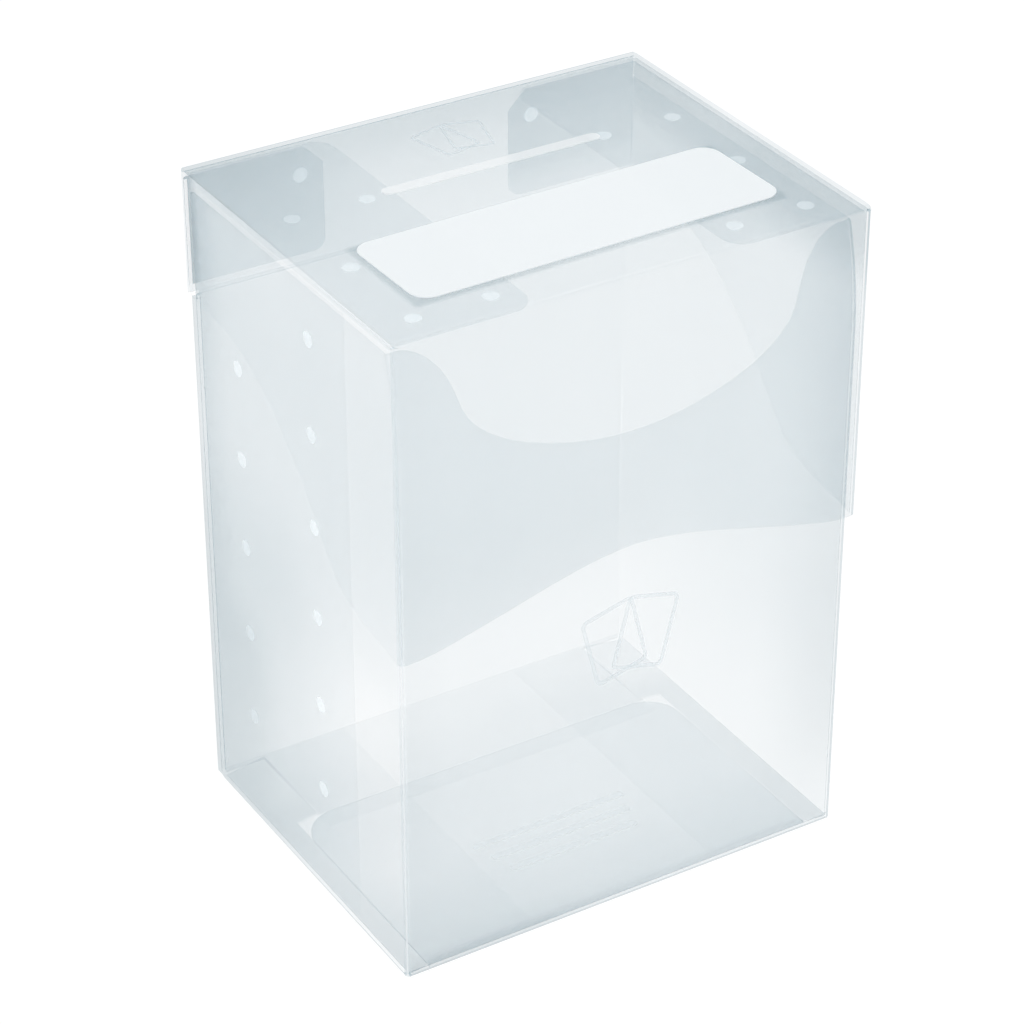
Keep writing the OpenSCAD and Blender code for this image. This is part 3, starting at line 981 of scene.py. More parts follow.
@dataclass
class BoxBody(SubAssembly):
    """The box under the lid: four walls, the seam flap, their folds and the bottom."""

    thumb_half_w: float = 32.9
    thumb_depth: float = 20.2
    rear_gap: float = 0.6
    bottom_climb: float = 6.6
    panel_corner: float = 5.4
    panel_shift: float = 0.7
    side_rows: int = 40
    mark_w: float = 8.4
    bar_count: int = 3
    bar_half: tuple[float, float] = (12.5, 0.6)
    bar_corner: float = 0.5
    bar_rise: float = 0.15
    shades: BodyShades = BodyShades()

    def build(self) -> None:
        """Builds every piece of the body."""
        self.front_wall()
        self.side_walls()
        self.back_wall()
        self.upright_folds()
        self.bottom()
        self.seam_welds()

    def front_wall(self) -> None:
        """Builds the front wall with its thumb cut-out and raised mark."""
        s = self.size
        half_x = s.body_x - s.fold_r
        low = s.fold_r
        half = [
            (x * self.thumb_half_w, s.wall_top - d * self.thumb_depth)
            for x, d in smooth_curve(THUMB_OUTLINE, FOLD_STEPS)
        ]
        edge = [(-x, z) for x, z in reversed(half[1:])] + half
        edge = [(-half_x, s.wall_top)] + edge + [(half_x, s.wall_top)]
        columns = [(x, spread(low, z, WALL_STEPS)) for x, z in edge]
        c = self.shades

        def place(u: float, v: float, w: float) -> Point:
            """Stands a point on the wall, which curves in above the hinge's level."""
            return u, s.swing_y(s.swing_r - w * s.sheet, v), v

        def shade(u: float, v: float) -> float:
            """Shades the foot and the two sides."""
            foot = (c.foot_least + c.foot_left.at(u)) * c.foot.at(v - low)
            right = c.right_edge.at(half_x - u) * (c.right_least + c.right_rise.at(v))
            return max(foot, right, c.left_edge.at(half_x + u)) + c.lower_half.at(v)

        mesh = SheetMesh()
        mesh.strip(columns, place, (Rim.HIGH,), shade)
        CardOutlineMark(self.mark_w, (0.0, front_mark_z())).add(
            mesh, lambda x, z, h: (x, s.wall_y - self.proud(h), z)
        )
        self.add(mesh, "front_wall")

    def _side(
        self, name: str, x_out: float, x_in: float, y_low: float | None, y_high: float, z_low: float,
        rims: dict[Rim, int], shade: Mask, finish: PlasticFinish = SIDE_SHEET,
    ) -> None:
        """Builds one side layer, whose upper part ends short of the lid's back tabs.

        Args:
            name: the CAD node.
            x_out: its outer face.
            x_in: its inner face.
            y_low: its front edge, or None where it meets the front fold.
            y_high: its back edge below the hinge.
            z_low: its foot.
            rims: its cut edges, each with the first column it is cut at.
            shade: its shade by height and depth.
            finish: its finish.
        """
        s = self.size
        upper_y = s.back_y - max(s.fold_r, 2 * s.sheet) - self.rear_gap
        step = s.lower_top
        heights = spread(z_low, step, self.side_rows) + spread(step + 0.02, s.wall_top, 12)
        columns = []
        for z in heights:
            front = s.swing_y(s.swing_r - s.fold_r, z)
            start = front if y_low is None else y_low
            end = y_high if z <= step else min(y_high, upper_y)
            columns.append((z, spread(start, end, FLAP_STEPS)))

        def place(u: float, v: float, w: float) -> Point:
            """Stands a point on the side layer."""
            return x_out + (x_in - x_out) * w, v, u

        mesh = SheetMesh()
        mesh.strip(columns, place, rims, shade)
        self.add(mesh, name, finish=finish)

    def side_walls(self) -> None:
        """Builds the two side walls and the seam flap inside the left one."""
        s = self.size
        c = self.shades
        rear_edge = s.back_y - s.fold_r

        def left_shade(z: float, y: float) -> float:
            """Paints shade on the left wall's back edge and seam, and painted light that clears its front.
            """
            back = (c.seam_edge_least + c.seam_edge_rise.at(z)) * c.seam_edge.at(s.back_y - y)
            low = c.seam_low[0].at(y) * c.seam_low[1].at(z)
            middle = c.seam_middle[0].at(z) * c.seam_middle[1].at(z)
            foot = c.seam_foot[0].at(abs(y - c.seam_foot_y)) * c.seam_foot[1].at(z)
            front = c.front_painted_light.at(y - s.wall_y) * c.front_painted_light_z[0].at(z) * c.front_painted_light_z[1].at(z)
            return back + low + middle + foot + front

        # the right wall carries painted light that clears it towards its foot
        self._side(
            "right_side_wall", s.body_x, s.body_x - s.sheet, None, rear_edge, s.fold_r,
            {Rim.LAST: 0, Rim.HIGH: self.side_rows},
            lambda z, y: c.right_painted_light.at(z),
        )
        self._side(
            "left_side_wall", -s.body_x, -s.seam_x - self.layer_gap, None,
            node_box("left_side_wall")[1].y, s.fold_r, {Rim.LAST: 0, Rim.HIGH: 0}, left_shade,
        )
        flap = node_box("seam_flap")
        self._side(
            "seam_flap", -s.seam_x, -s.seam_x + s.sheet, flap[0].y, rear_edge, flap[0].z,
            {Rim.LAST: 0, Rim.LOW: 0, Rim.FIRST: 0, Rim.HIGH: self.side_rows},
            lambda z, y: 0.0, LAPPED_SHEET,
        )

    def back_wall(self) -> None:
        """Builds the back wall up to the hinge crease."""
        s = self.size
        low, high = node_box("back_wall")
        c = self.shades
        columns = [(x, spread(low.z, high.z, WALL_STEPS)) for x in spread(low.x, high.x, WALL_STEPS)]

        def place(u: float, v: float, w: float) -> Point:
            """Stands a point on the back wall."""
            return u, s.back_y - w * s.sheet, v

        mesh = SheetMesh()
        # painted shade along the left edge, and painted light that clears the wall towards its foot
        mesh.strip(
            columns, place, (Rim.HIGH,), lambda u, v: c.back_edge.at(u - low.x) + c.back_painted_light.at(v)
        )
        self.add(mesh, "back_wall")

    def upright_folds(self) -> None:
        """Builds the four upright folds."""
        s, c = self.size, self.shades
        foot = node_box("front_right_fold")[0].z
        front_z = spread(foot, s.hinge_z, 20) + spread(s.hinge_z + 1, s.wall_top, 10)
        back_z = spread(foot, s.lower_top, 20)
        for side, name in ((-1, "front_left_fold"), (1, "front_right_fold")):
            centre_x = side * (s.body_x - s.fold_r)

            def front_place(u: float, v: float, w: float) -> Point:
                """Stands a point on a front fold, which follows the front wall's curve."""
                r = s.fold_r - w * s.sheet
                y = s.swing_y(s.swing_r - s.fold_r + r * math.cos(v), u)
                return centre_x + side * r * math.sin(v), y, u

            # painted shade on the right front fold; the left one has painted shade at its foot and a
            # whitened middle line that is partly a painted highlight
            mesh = SheetMesh()
            mesh.strip([(z, quarter()) for z in front_z], front_place, (Rim.LAST, Rim.FIRST),
                       lambda u, v: c.fold if side > 0 else c.fold_foot.at(u),
                       lambda u, v: c.fold_line * middle_line(v)
                       * (c.fold_line_least + c.fold_line_rise.at(u)) if side < 0 else 0.0)
            self.add(mesh, name, Slot.FOLD, CREASED)
        for side, name, centre_x in (
            (-1, "back_left_fold", -s.seam_x + s.fold_r),
            (1, "back_right_fold", s.body_x - s.fold_r),
        ):
            def back_place(u: float, v: float, w: float) -> Point:
                """Stands a point on a back fold."""
                r = s.fold_r - w * s.sheet
                return centre_x + side * r * math.cos(v), s.back_y - s.fold_r + r * math.sin(v), u

            # painted shade on the left back fold, and painted light on the right one, clearest at its foot
            mesh = SheetMesh()
            mesh.strip([(z, quarter()) for z in back_z], back_place, (Rim.LAST, Rim.FIRST),
                       lambda u, v: c.fold if side < 0 else c.fold_painted_light.at(u))
            self.add(mesh, name, Slot.FOLD, CREASED)

    def bottom(self) -> None:
        """Builds the bottom panel and the three flaps on it, each with its fold."""
        self._bottom_panel()
        self._back_flap()
        for side, name in ((-1, "bottom_left_flap"), (1, "bottom_right_flap")):
            self._side_flap(side, name)

    def _bottom_panel(self) -> None:
        """Builds the outermost panel of the bottom, turned back from the front wall."""
        s = self.size
        reach = node_box("bottom_panel")[1].y
        half_x = node_box("bottom_panel")[1].x
        flat_x = s.body_x - s.fold_r - self.bottom_climb / 2 - 0.01
        start = s.wall_y + s.fold_r
        arc = s.fold_r * math.pi / 2
        c = self.shades
        bend = spread(0, arc, FOLD_STEPS)

        def rows(x: float) -> list[float]:
            """Gives a column's rows: round the fold and back to the panel's end there."""
            if abs(x) > flat_x:
                return bend + spread(arc + 0.002, arc + 0.05, TAIL_STEPS)
            over = max(abs(x) - (flat_x - self.panel_corner), 0)
            end = reach - self.panel_corner + math.sqrt(max(self.panel_corner**2 - over**2, 0))
            return bend + spread(arc + (end - start) / (TAIL_STEPS + 1), arc + end - start, TAIL_STEPS)

        corner = [flat_x - self.panel_corner * (1 - math.sin(a)) for a in quarter(10)]
        half = spread(0, corner[0], 14)[:-1] + corner + [flat_x + 0.02] + spread(flat_x + 0.5, half_x, 3)
        xs = [-x for x in reversed(half[1:])] + half

        def place(u: float, v: float, w: float) -> Point:
            """Lays a point on the fold or the panel."""
            r = s.fold_r - w * s.sheet
            if v < arc:
                a = v / s.fold_r
                return u, start - r * math.cos(a), s.fold_r - r * math.sin(a)
            return u, start + v - arc, w * s.sheet

        # painted shade over the bottom panel, deeper towards its front fold and its left
        mesh = SheetMesh()
        mesh.strip([(x, rows(x)) for x in xs], place, (Rim.HIGH, Rim.FIRST, Rim.LAST),
                   lambda u, v: c.panel + c.panel_front.at(v) + c.floor_left.at(u)
                   + (c.panel_line_flat if v > arc else c.panel_line_fold) * c.panel_line.at(v))
        half_long, half_wide = self.bar_half
        for i in range(self.bar_count):
            y = s.wall_y * (0.27 + i * 0.125)
            outline = [(x, y + dy) for x, dy in round_outline(half_long - i, half_wide, self.bar_corner)]
            mesh.plate(
                outline, lambda x, yy, h: (x, yy, s.sheet - 0.02 + self.bar_rise * h), self.bar_rounding
            )
        self.add(mesh, "bottom_panel", finish=BOTTOM_SHEET)

    def _climb(self, distance: float, lift: float) -> float:
        """Gives how high a flap's outer face is at a distance past its fold."""
        t = min(max(distance / self.bottom_climb, 0), 1)
        return lift * t

    def _back_flap(self) -> None:
        """Builds the bottom flap of the back wall."""
        s = self.size
        low, high = node_box("bottom_back_flap")
        tip = low.y
        start = s.back_y - s.fold_r
        arc = s.fold_r * math.pi / 2
        flat_x = s.body_x - s.fold_r - self.bottom_climb
        reach = node_box("bottom_panel")[1].y
        c = self.shades

        def rows(x: float) -> list[float]:
            """Gives a column's rows: round the fold and forward to the tip."""
            end = start - tip if -flat_x <= x <= flat_x else 0.05
            if end < 1:
                tail = spread(arc + end / (TAIL_STEPS + 1), arc + end, TAIL_STEPS)
                return spread(0, arc, FOLD_STEPS) + tail
            meet = arc + start - reach + self.panel_shift
            tail = spread(arc + 1, meet - 0.1, 12) + spread(meet + 0.1, arc + end, FOLD_STEPS)
            return spread(0, arc, FOLD_STEPS) + tail

        xs = spread(low.x, -flat_x - 0.02, 4) + spread(-flat_x, flat_x, FLAP_STEPS)
        xs += spread(flat_x + 0.02, high.x, 4)

        def place(u: float, v: float, w: float) -> Point:
            """Lays a point on the fold, the climb or the flat."""
            r = s.fold_r - w * s.sheet
            if v < arc:
                a = v / s.fold_r
                return u, start + r * math.cos(a), s.fold_r - r * math.sin(a)
            lift = self._climb(v - arc, s.sheet + self.layer_gap)
            return u, start - (v - arc), lift + w * (s.sheet - self.layer_gap)

        # painted shade on the part of the back flap outside the panel, deeper next to the panel's edge and
        # to the left
        mesh = SheetMesh()
        mesh.strip([(x, rows(x)) for x in xs], place, (Rim.HIGH, Rim.FIRST, Rim.LAST),
                   lambda u, v: c.back_flap + c.back_flap_front.at(start + arc - v - reach)
                   + c.floor_left.at(u) if start + arc - v > reach - self.panel_shift else 0.0)
        self.add(mesh, "bottom_back_flap", finish=UNDER_SHEET)

    def _side_flap(self, side: int, name: str) -> None:
        """Builds a bottom side flap.

        Args:
            side: -1 for the left, 1 for the right.
            name: the CAD node.
        """
        s = self.size
        low, high = node_box(name)
        tip = min(abs(low.x), abs(high.x))
        start = s.body_x - s.fold_r
        arc = s.fold_r * math.pi / 2
        meet = arc + self.bottom_climb / 2 + side * self.panel_shift * 0.6
        wide = meet + self.bottom_climb / 2
        rows = spread(0, arc, FOLD_STEPS) + spread(arc + 0.6, meet - 0.1, 3)
        rows += spread(meet + 0.1, wide - 0.1, 3) + spread(wide + 0.1, arc + start - tip, 12)
        reach = node_box("bottom_panel")[1].y
        c = self.shades
        strength = c.side_flap_left if side < 0 else c.side_flap_right

        def place(u: float, v: float, w: float) -> Point:
            """Lays a point on the fold, the climb or the flat."""
            r = s.fold_r - w * s.sheet
            if v < arc:
                a = v / s.fold_r
                return side * (start + r * math.cos(a)), u, s.fold_r - r * math.sin(a)
            lift = self._climb(v - arc, 2 * s.sheet + self.layer_gap)
            return side * (start - (v - arc)), u, lift + w * (s.sheet - self.layer_gap)

        def shade(u: float, v: float) -> float:
            """Shades the part outside the panel as much as the panel beside it."""
            if v > (meet if u < reach - self.panel_shift else wide):
                return 0.0
            if v < arc and side < 0:
                return c.side_flap_fold
            front = c.side_flap_least + c.side_flap_gain * ramp(u, reach, s.wall_y)
            return strength * front - c.side_flap_gain * ramp(u, reach, reach + c.side_flap_fade)

        mesh = SheetMesh()
        columns = [(y, rows) for y in spread(low.y, high.y, 2 * WALL_STEPS)]
        mesh.strip(columns, place, (Rim.HIGH, Rim.FIRST, Rim.LAST), shade)
        self.add(mesh, name, finish=UNDER_SHEET)

    def seam_welds(self) -> None:
        """Builds the weld spots down the seam."""
        mesh = SheetMesh()
        for low, high in node_spots("seam_welds"):
            centre = (low + high) / 2
            centre.x = low.x - self.sink
            mesh.spot(centre, Vector((1, 0, 0)), (high.y - low.y) / 2, high.x - low.x + self.sink)
        # the weld finish gives the spots a painted glow
        self.add(mesh, "seam_welds", Slot.FOLD, WELDED)


def front_mark_z(depth: float = 0.02) -> float:
    """Gives the height of the front mark's middle, from the points at most this far behind its face."""
    face_y = node_box("front_wall")[0].y
    points = frame["nodes"]["front_wall"].data.vertices
    heights = [point.co.z / MM for point in points if point.co.y / MM < face_y + depth]
    return (min(heights) + max(heights)) / 2


@dataclass
class FlipLid(SubAssembly):
    """The lid: back strip, top panel, front flap, side flaps, tabs, folds and weld spots."""

    body: Body = Body.LID
    notch_rise: float = 7.0
    tab_corner: float = 3.0
    top_columns: int = 130
    top_rows: int = 110
    shades: LidShades = LidShades()

    def build(self) -> None:
        """Builds every piece of the lid."""
        self.top_panel()
        self.long_folds()
        self.back_strip()
        self.front_flap()
        self.front_corners()
        for side in (-1, 1):
            self.side_flap(side)
            self.top_tab(side)
            self.back_tab(side)
        self.welds()

    def top_panel(self) -> None:
        """Builds the top panel with its raised marks."""
        s = self.size
        half_x, half_y = s.lid_edge_x, s.back_y - s.fold_r
        c = self.shades
        rows = spread(-half_y, half_y, self.top_rows)
        columns = [(x, rows) for x in spread(-half_x, half_x, self.top_columns)]
        label = node_box("title_label")
        label_y = (label[0].y + label[1].y) / 2
        sin = math.sin(math.radians(TitleLabel.turn))

        def broad(u: float, v: float) -> float:
            """Shades the sides and the back."""
            left = c.top_left[0].at(half_x + u) * c.top_left[1].at(v)
            right = c.top_right[0].at(v) * c.top_right[1].at(half_x - u)
            return max(left, right) + c.top_back.at(half_y - v)

        def shade(u: float, v: float) -> float:
            """Adds the shadow under the label, closer in at its front and left."""
            shift_x, shift_y = c.label_shift
            past_x = max(abs(u + shift_x) - TitleLabel.width / 2, 0)
            past_y = max(abs(v - label_y - sin * u + shift_y) - TitleLabel.depth / 2, 0)
            return broad(u, v) + c.label_shadow.at(math.hypot(past_x, past_y))

        mesh = SheetMesh()
        mesh.strip(
            columns, lambda u, v, w: (u, v, s.top - w * (s.sheet - self.layer_gap)),
            (Rim.FIRST, Rim.LAST), shade,
        )
        for vert in mesh.bm.verts:
            if vert.co.z < s.top - s.sheet / 2:
                vert[mesh.shade] = broad(vert.co.x, vert.co.y)
        label_back = label_y + TitleLabel.depth / 2
        room = half_y - label_back

        def raised(x: float, y: float, h: float) -> Point:
            """Sets a mark's point on the top."""
            return x, y, s.top + self.proud(h)

        CardOutlineMark(room * 0.19, (0.0, label_back + room * 0.666)).add(mesh, raised)
        bar = round_outline(room * 0.54, room * 0.032, room * 0.028)
        mesh.plate([(x, y + label_back + room * 0.346) for x, y in bar], raised, self.bar_rounding)
        self.add(mesh, "lid_top_panel", finish=TOP_SHEET)

    def long_folds(self) -> None:
        """Builds the folds along the top panel's front and back."""
        s, c = self.size, self.shades
        xs = spread(-s.lid_edge_x, s.lid_edge_x, WALL_STEPS)
        for side, name in ((1, "lid_back_fold"), (-1, "lid_front_fold")):
            def place(u: float, v: float, w: float) -> Point:
                """Lays a point on a fold."""
                r = s.fold_r - w * s.sheet
                y = side * (s.back_y - s.fold_r + r * math.cos(v))
                return u, y, s.top - s.fold_r + r * math.sin(v)

            # painted shade on the back fold and towards the front fold's right end; the front fold's
            # whitened middle line is partly a painted highlight
            mesh = SheetMesh()
            mesh.strip([(x, quarter()) for x in xs], place, (Rim.FIRST, Rim.LAST),
                       lambda u, v: c.back_fold if side > 0 else c.front_fold.at(s.lid_x - u),
                       lambda u, v: 0.0 if side > 0 else c.front_fold_line * middle_line(v))
            self.add(mesh, name, Slot.FOLD, CREASED)

    def back_strip(self) -> None:
        """Builds the strip above the hinge crease."""
        s, c = self.size, self.shades
        low, high = node_box("lid_back_strip")
        columns = [(x, spread(low.z, high.z, 10)) for x in spread(low.x, high.x, WALL_STEPS)]
        # painted shade along the strip's top and its left end
        mesh = SheetMesh()
        mesh.strip(
            columns, lambda u, v, w: (u, s.back_y - w * (s.sheet - self.layer_gap), v),
            (Rim.LOW, Rim.FIRST, Rim.LAST),
            lambda u, v: max(c.strip_top.at(high.z - v), c.strip_left.at(u - low.x)),
        )
        self.add(mesh, "lid_back_strip")

    def front_flap(self) -> None:
        """Builds the front flap with the shallow notch in its lower edge."""
        s, c = self.size, self.shades
        half_x = s.lid_x - s.fold_r
        top = s.top - s.fold_r
        half = [
            (x * half_x, s.flap_low_z + rise * self.notch_rise)
            for x, rise in smooth_curve(NOTCH_OUTLINE, FOLD_STEPS)
        ]
        edge = [(-x, z) for x, z in reversed(half[1:])] + half
        columns = [(x, spread(z, top, FLAP_STEPS)) for x, z in edge]
        # painted shade along the flap's right edge and low on its left
        mesh = SheetMesh()
        mesh.strip(
            columns, lambda u, v, w: (u, s.front_y + w * s.sheet, v), (Rim.LOW,),
            lambda u, v: c.flap_right.at(half_x - u) + c.flap_low_left[0].at(v) * c.flap_low_left[1].at(u),
        )
        self.add(mesh, "lid_front_flap")

    def front_corners(self) -> None:
        """Builds the two upright folds of the front flap."""
        s, c = self.size, self.shades
        zs = spread(s.flap_low_z, s.top - s.fold_r, FLAP_STEPS)
        for side, name in ((-1, "lid_front_left_fold"), (1, "lid_front_right_fold")):
            def place(u: float, v: float, w: float) -> Point:
                """Stands a point on an upright fold."""
                r = s.fold_r - w * s.sheet
                x = side * (s.lid_x - s.fold_r + r * math.sin(v))
                return x, s.front_y + s.fold_r - r * math.cos(v), u

            # painted shade on the right corner, more at its top; the left corner's whitened middle line is
            # partly a painted highlight
            mesh = SheetMesh()
            mesh.strip([(z, quarter()) for z in zs], place, (Rim.FIRST, Rim.LAST),
                       lambda u, v: c.corner + c.corner_top.at(u) if side > 0 else 0.0,
                       lambda u, v: c.corner_line * middle_line(v) if side < 0 else 0.0)
            self.add(mesh, name, Slot.FOLD, CREASED)

    def side_flap(self, side: int) -> None:
        """Builds a side flap with its curved lower edge.

        Args:
            side: -1 for the left, 1 for the right.
        """
        s, c = self.size, self.shades
        name = "lid_left_flap" if side < 0 else "lid_right_flap"
        low, high = node_box(name)
        y0, y1 = low.y, high.y
        rise = s.strip_z - s.flap_low_z
        columns = [
            (y0 + p * (y1 - y0), spread(s.flap_low_z + q * rise, s.flap_top, FLAP_STEPS))
            for p, q in smooth_curve(FLAP_OUTLINE, 5)
        ]
        # painted shade along the left flap's back edge, and on the right flap at its back, top and front
        mesh = SheetMesh()
        mesh.strip(
            columns, lambda u, v, w: (side * (s.lid_x - w * s.sheet), u, v), (Rim.LOW, Rim.LAST),
            lambda u, v: c.left_flap.at(y1 - u) if side < 0 else max(
                c.right_flap_back[0].at(u) * c.right_flap_back[1].at(v), c.right_flap_top.at(v),
                c.right_flap_front.at(u - y0),
            ),
        )
        self.add(mesh, name, finish=LAPPED_SHEET)

    def _tab_rows(self, reach: float, arc: float) -> list[float]:
        """Gives a tab's rows: round its fold and in to its free end."""
        return spread(0, arc, FOLD_STEPS) + spread(arc + reach / 16, arc + reach, 15)

    def _corner(self, distance: float, radius: float) -> float:
        """Gives how far a rounded corner pulls a tab's end back, at a distance from its side."""
        over = max(radius - distance, 0)
        return radius - math.sqrt(max(radius * radius - over * over, 0))

    def top_tab(self, side: int) -> None:
        """Builds a tab turned in from a side flap under the top panel.

        Args:
            side: -1 for the left, 1 for the right.
        """
        s, c = self.size, self.shades
        name = "lid_top_tab_left" if side < 0 else "lid_top_tab_right"
        low, high = node_box(name)
        start = s.lid_x - s.fold_r
        reach = start - min(abs(low.x), abs(high.x))
        arc = s.fold_r * math.pi / 2
        y0, y1 = low.y, high.y
        ends = [self.tab_corner * (1 - math.cos(a)) for a in quarter(8)]
        ys = [y0 + e for e in ends]
        ys += spread(y0 + self.tab_corner, y1 - self.tab_corner, FLAP_STEPS)[1:-1]
        ys += [y1 - e for e in reversed(ends)]

        def rows(y: float) -> list[float]:
            """Gives a column's rows, shorter at the rounded corners."""
            return self._tab_rows(reach - self._corner(min(y - y0, y1 - y), self.tab_corner), arc)

        def place(u: float, v: float, w: float) -> Point:
            """Lays a point on the fold or the tab."""
            r = s.fold_r - w * s.sheet
            under = s.flap_top + s.fold_r
            if v < arc:
                a = v / s.fold_r
                return side * (start + r * math.cos(a)), u, s.flap_top + r * math.sin(a)
            return side * (start - (v - arc)), u, under - w * s.sheet

        # painted shade on the right tab, deepest round its fold and towards the front; the left tab's
        # whitened fold line, stronger towards the front, is partly a painted highlight
        mesh = SheetMesh()
        mesh.strip(
            [(y, rows(y)) for y in ys], place, (Rim.HIGH, Rim.FIRST, Rim.LAST),
            lambda u, v: 0.0 if side < 0 else (
                c.top_tab_fold if v <= arc else c.top_tab + c.top_tab_front.at(u)
            ),
            lambda u, v: (c.top_tab_line + c.top_tab_line_front.at(u)) * middle_line(v / s.fold_r)
            if v <= arc and side < 0 else 0.0,
        )
        self.add(mesh, name, finish=TUCKED_SHEET if side < 0 else LAPPED_SHEET)

    def back_tab(self, side: int) -> None:
        """Builds a tab turned in from a side flap behind the back strip.

        Args:
            side: -1 for the left, 1 for the right.
        """
        s, c = self.size, self.shades
        name = "lid_back_tab_left" if side < 0 else "lid_back_tab_right"
        low, high = node_box(name)
        start = s.lid_x - s.fold_r
        reach = start - min(abs(low.x), abs(high.x))
        arc = s.fold_r * math.pi / 2
        foot, top = low.z, high.z
        corner = self.tab_corner * 0.6
        chamfer = self.tab_corner * 1.3 / math.sqrt(2)
        ends = [corner * (1 - math.cos(a)) for a in quarter(8)]
        zs = [foot + e for e in ends]
        zs += spread(foot + corner, top - chamfer, 10)[1:] + spread(top - chamfer, top, 4)[1:]

        def rows(z: float) -> list[float]:
            """Gives a column's rows, shorter at the rounded and the cut corner."""
            short = max(self._corner(z - foot, corner), chamfer - (top - z), 0)
            return self._tab_rows(reach - short, arc)

        centre_y = s.back_y - s.sheet - s.fold_r

        def place(u: float, v: float, w: float) -> Point:
            """Stands a point on the fold or the tab."""
            r = s.fold_r - w * s.sheet
            if v < arc:
                a = v / s.fold_r
                return side * (start + r * math.cos(a)), centre_y + r * math.sin(a), u
            return side * (start - (v - arc)), centre_y + r, u

        # painted shade on the left tab, deepest round its fold, and on the right tab, fading out at its foot
        mesh = SheetMesh()
        mesh.strip(
            [(z, rows(z)) for z in zs], place, (Rim.HIGH, Rim.FIRST, Rim.LAST),
            lambda u, v: (c.back_tab_fold if v <= arc else c.back_tab_left) if side < 0
            else c.back_tab_right * (1 - ramp(u, foot + c.back_tab_foot, foot)),
        )
        self.add(mesh, name, finish=TUCKED_SHEET)

    def welds(self) -> None:
        """Builds the weld spots under the top and behind the back strip."""
        for node, axis in (("lid_top_welds", 2), ("lid_back_welds", 1)):
            mesh = SheetMesh()
            out = Vector((0, 0, 0))
            out[axis] = -1
            for low, high in node_spots(node):
                centre = (low + high) / 2
                centre[axis] = high[axis] + self.sink
                height = high[axis] - low[axis] + self.sink
                mesh.spot(centre, out, (high.x - low.x) / 2, height)
            # the weld finish gives the spots a painted glow
            self.add(mesh, node, Slot.FOLD, WELDED)


@dataclass
class HingeCrease:
    """The thin web across the back that bends between the back wall and the lid."""

    size: Sizes
    dresser: Dresser
    groove_depth: float = 0.06
    groove_reach: float = 0.25
    outer_share: float = 0.4
    whitening: float = 0.15
    edge_rounding: float = 0.05

    def build(self) -> None:
        """Builds the web, thinnest along its middle, and bakes its place into its mesh without a body."""
        s = self.size
        low, high = node_box("lid_hinge_crease")
        middle = (low.z + high.z) / 2
        columns = [(x, spread(low.z, high.z, 8)) for x in spread(low.x, high.x, WALL_STEPS)]

        def place(u: float, v: float, w: float) -> Point:
            """Stands a point on the web."""
            groove = self.groove_depth * fade(abs(v - middle), self.groove_reach)
            if w:
                return u, low.y + groove, v
            return u, s.back_y - groove * self.outer_share, v

        mesh = SheetMesh()
        mesh.strip(
            columns, place, (Rim.FIRST, Rim.LAST), None, lambda u, v: self.whitening, self.edge_rounding
        )
        piece = self.dresser.dress(
            mesh, "lid_hinge_crease_web", ["lid_hinge_crease"], None, Slot.FOLD, CREASED
        )
        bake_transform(piece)


@dataclass
class TitleLabel:
    """The blank self-adhesive label on the top."""

    dresser: Dresser
    width: float = 55.2
    depth: float = 17.2
    corner: float = 2.6
    turn: float = 1.0
    lift: float = 0.01
    edge_rounding: float = 0.1

    def build(self) -> None:
        """Builds the label as a thin film with a rounded outline, stuck on very slightly askew."""
        low, high = node_box("title_label")
        mid_x, mid_y = (low.x + high.x) / 2, (low.y + high.y) / 2
        foot = low.z + self.lift
        cos, sin = math.cos(math.radians(self.turn)), math.sin(math.radians(self.turn))
        flat = round_outline(self.width / 2, self.depth / 2, self.corner, 12)
        outline = [(x * cos - y * sin, x * sin + y * cos) for x, y in flat]
        mesh = SheetMesh()
        mesh.plate(
            [(x + mid_x, y + mid_y) for x, y in outline],
            lambda x, y, h: (x, y, foot + (high.z - foot) * h), self.edge_rounding,
        )
        self.dresser.dress(mesh, "title_label_film", ["title_label"], Body.LID, Slot.LABEL, LABEL)


# ---------------------------------------------------------------- studio


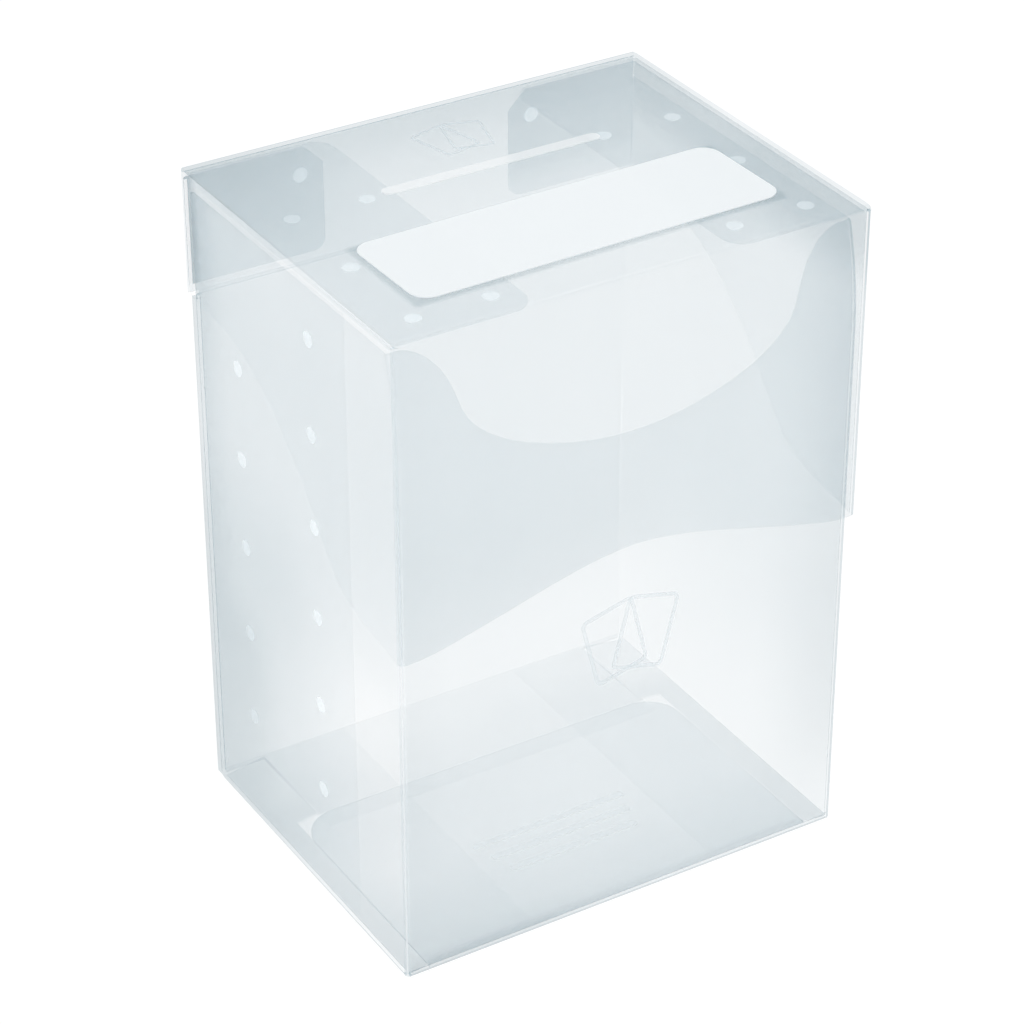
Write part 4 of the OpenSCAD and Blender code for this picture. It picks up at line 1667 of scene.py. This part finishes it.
@dataclass
class Studio:
    """The pale table, the soft light round it and the camera."""

    azimuth: float = -31.2255
    elevation: float = 31.6527
    roll: float = -0.09
    lens: float = 124.0
    stand: Point = (-0.2155, -0.35274, 0.3033)
    sensor: float = 36.0
    clip_start: float = 0.01
    table_size: float = 8.0
    table_drop: float = 0.0002
    table_grey: float = 0.12
    table_glow: float = 0.92
    transparent_bounces: int = 64
    diffuse_bounces: int = 6
    bounces: int = 12

    def build(self) -> None:
        """Sets out the table, the light and the camera."""
        self.table()
        self.light()
        self.camera()

    def table(self) -> None:
        """Lays a wide pale table top under the box."""
        bm = bmesh.new()
        half = self.table_size / 2
        bm.faces.new([
            bm.verts.new((x * half, y * half, -self.table_drop))
            for x, y in ((-1, -1), (1, -1), (1, 1), (-1, 1))
        ])
        mesh = bpy.data.meshes.new("table")
        bm.to_mesh(mesh)
        bm.free()
        table = bpy.data.objects.new("table", mesh)
        bpy.context.scene.collection.objects.link(table)
        material = bpy.data.materials.new("white_table")
        material.use_nodes = True
        shader = material.node_tree.nodes["Principled BSDF"]
        shader.inputs["Base Color"].default_value = (self.table_grey, self.table_grey, self.table_grey, 1)
        shader.inputs["Roughness"].default_value = 0.9
        shader.inputs["Specular IOR Level"].default_value = 0.0
        shader.inputs["Emission Color"].default_value = (1, 1, 1, 1)
        shader.inputs["Emission Strength"].default_value = self.table_glow
        mesh.materials.append(material)

    def light(self) -> None:
        """Surrounds the table with an even white light."""
        world = bpy.data.worlds.new("white_room")
        world.use_nodes = True
        back = world.node_tree.nodes["Background"]
        back.inputs["Color"].default_value = (1, 1, 1, 1)
        back.inputs["Strength"].default_value = 1.0
        scene = bpy.context.scene
        scene.world = world
        scene.view_settings.view_transform = "Standard"
        scene.cycles.transparent_max_bounces = self.transparent_bounces
        scene.cycles.diffuse_bounces = self.diffuse_bounces
        scene.cycles.max_bounces = self.bounces

    def camera(self) -> None:
        """Stands the camera where it takes in the whole box."""
        data = bpy.data.cameras.new("camera")
        data.lens = self.lens
        data.sensor_width = self.sensor
        data.clip_start = self.clip_start
        a, e, k = (math.radians(v) for v in (self.azimuth, self.elevation, self.roll))
        right = Vector((math.cos(a), math.sin(a), 0))
        back = Vector((math.sin(a) * math.cos(e), -math.cos(a) * math.cos(e), math.sin(e)))
        up = back.cross(right)
        turned_right = right * math.cos(k) + up * math.sin(k)
        turned_up = up * math.cos(k) - right * math.sin(k)
        camera = bpy.data.objects.new("camera", data)
        camera.matrix_world = Matrix.Translation(self.stand) @ Matrix(
            (turned_right, turned_up, back)
        ).transposed().to_4x4()
        bpy.context.scene.collection.objects.link(camera)
        bpy.context.scene.camera = camera


def main() -> None:
    """Builds the box, the lid, the crease between them, the label and the studio."""
    logging.basicConfig(level=logging.INFO, format="%(name)s: %(message)s")
    Studio().build()
    size = Sizes.from_frame()
    dresser = Dresser()
    BoxBody(size, dresser).build()
    FlipLid(size, dresser).build()
    HingeCrease(size, dresser).build()
    TitleLabel(dresser).build()
    bpy.context.view_layer.update()


if __name__ == "__main__":
    main()
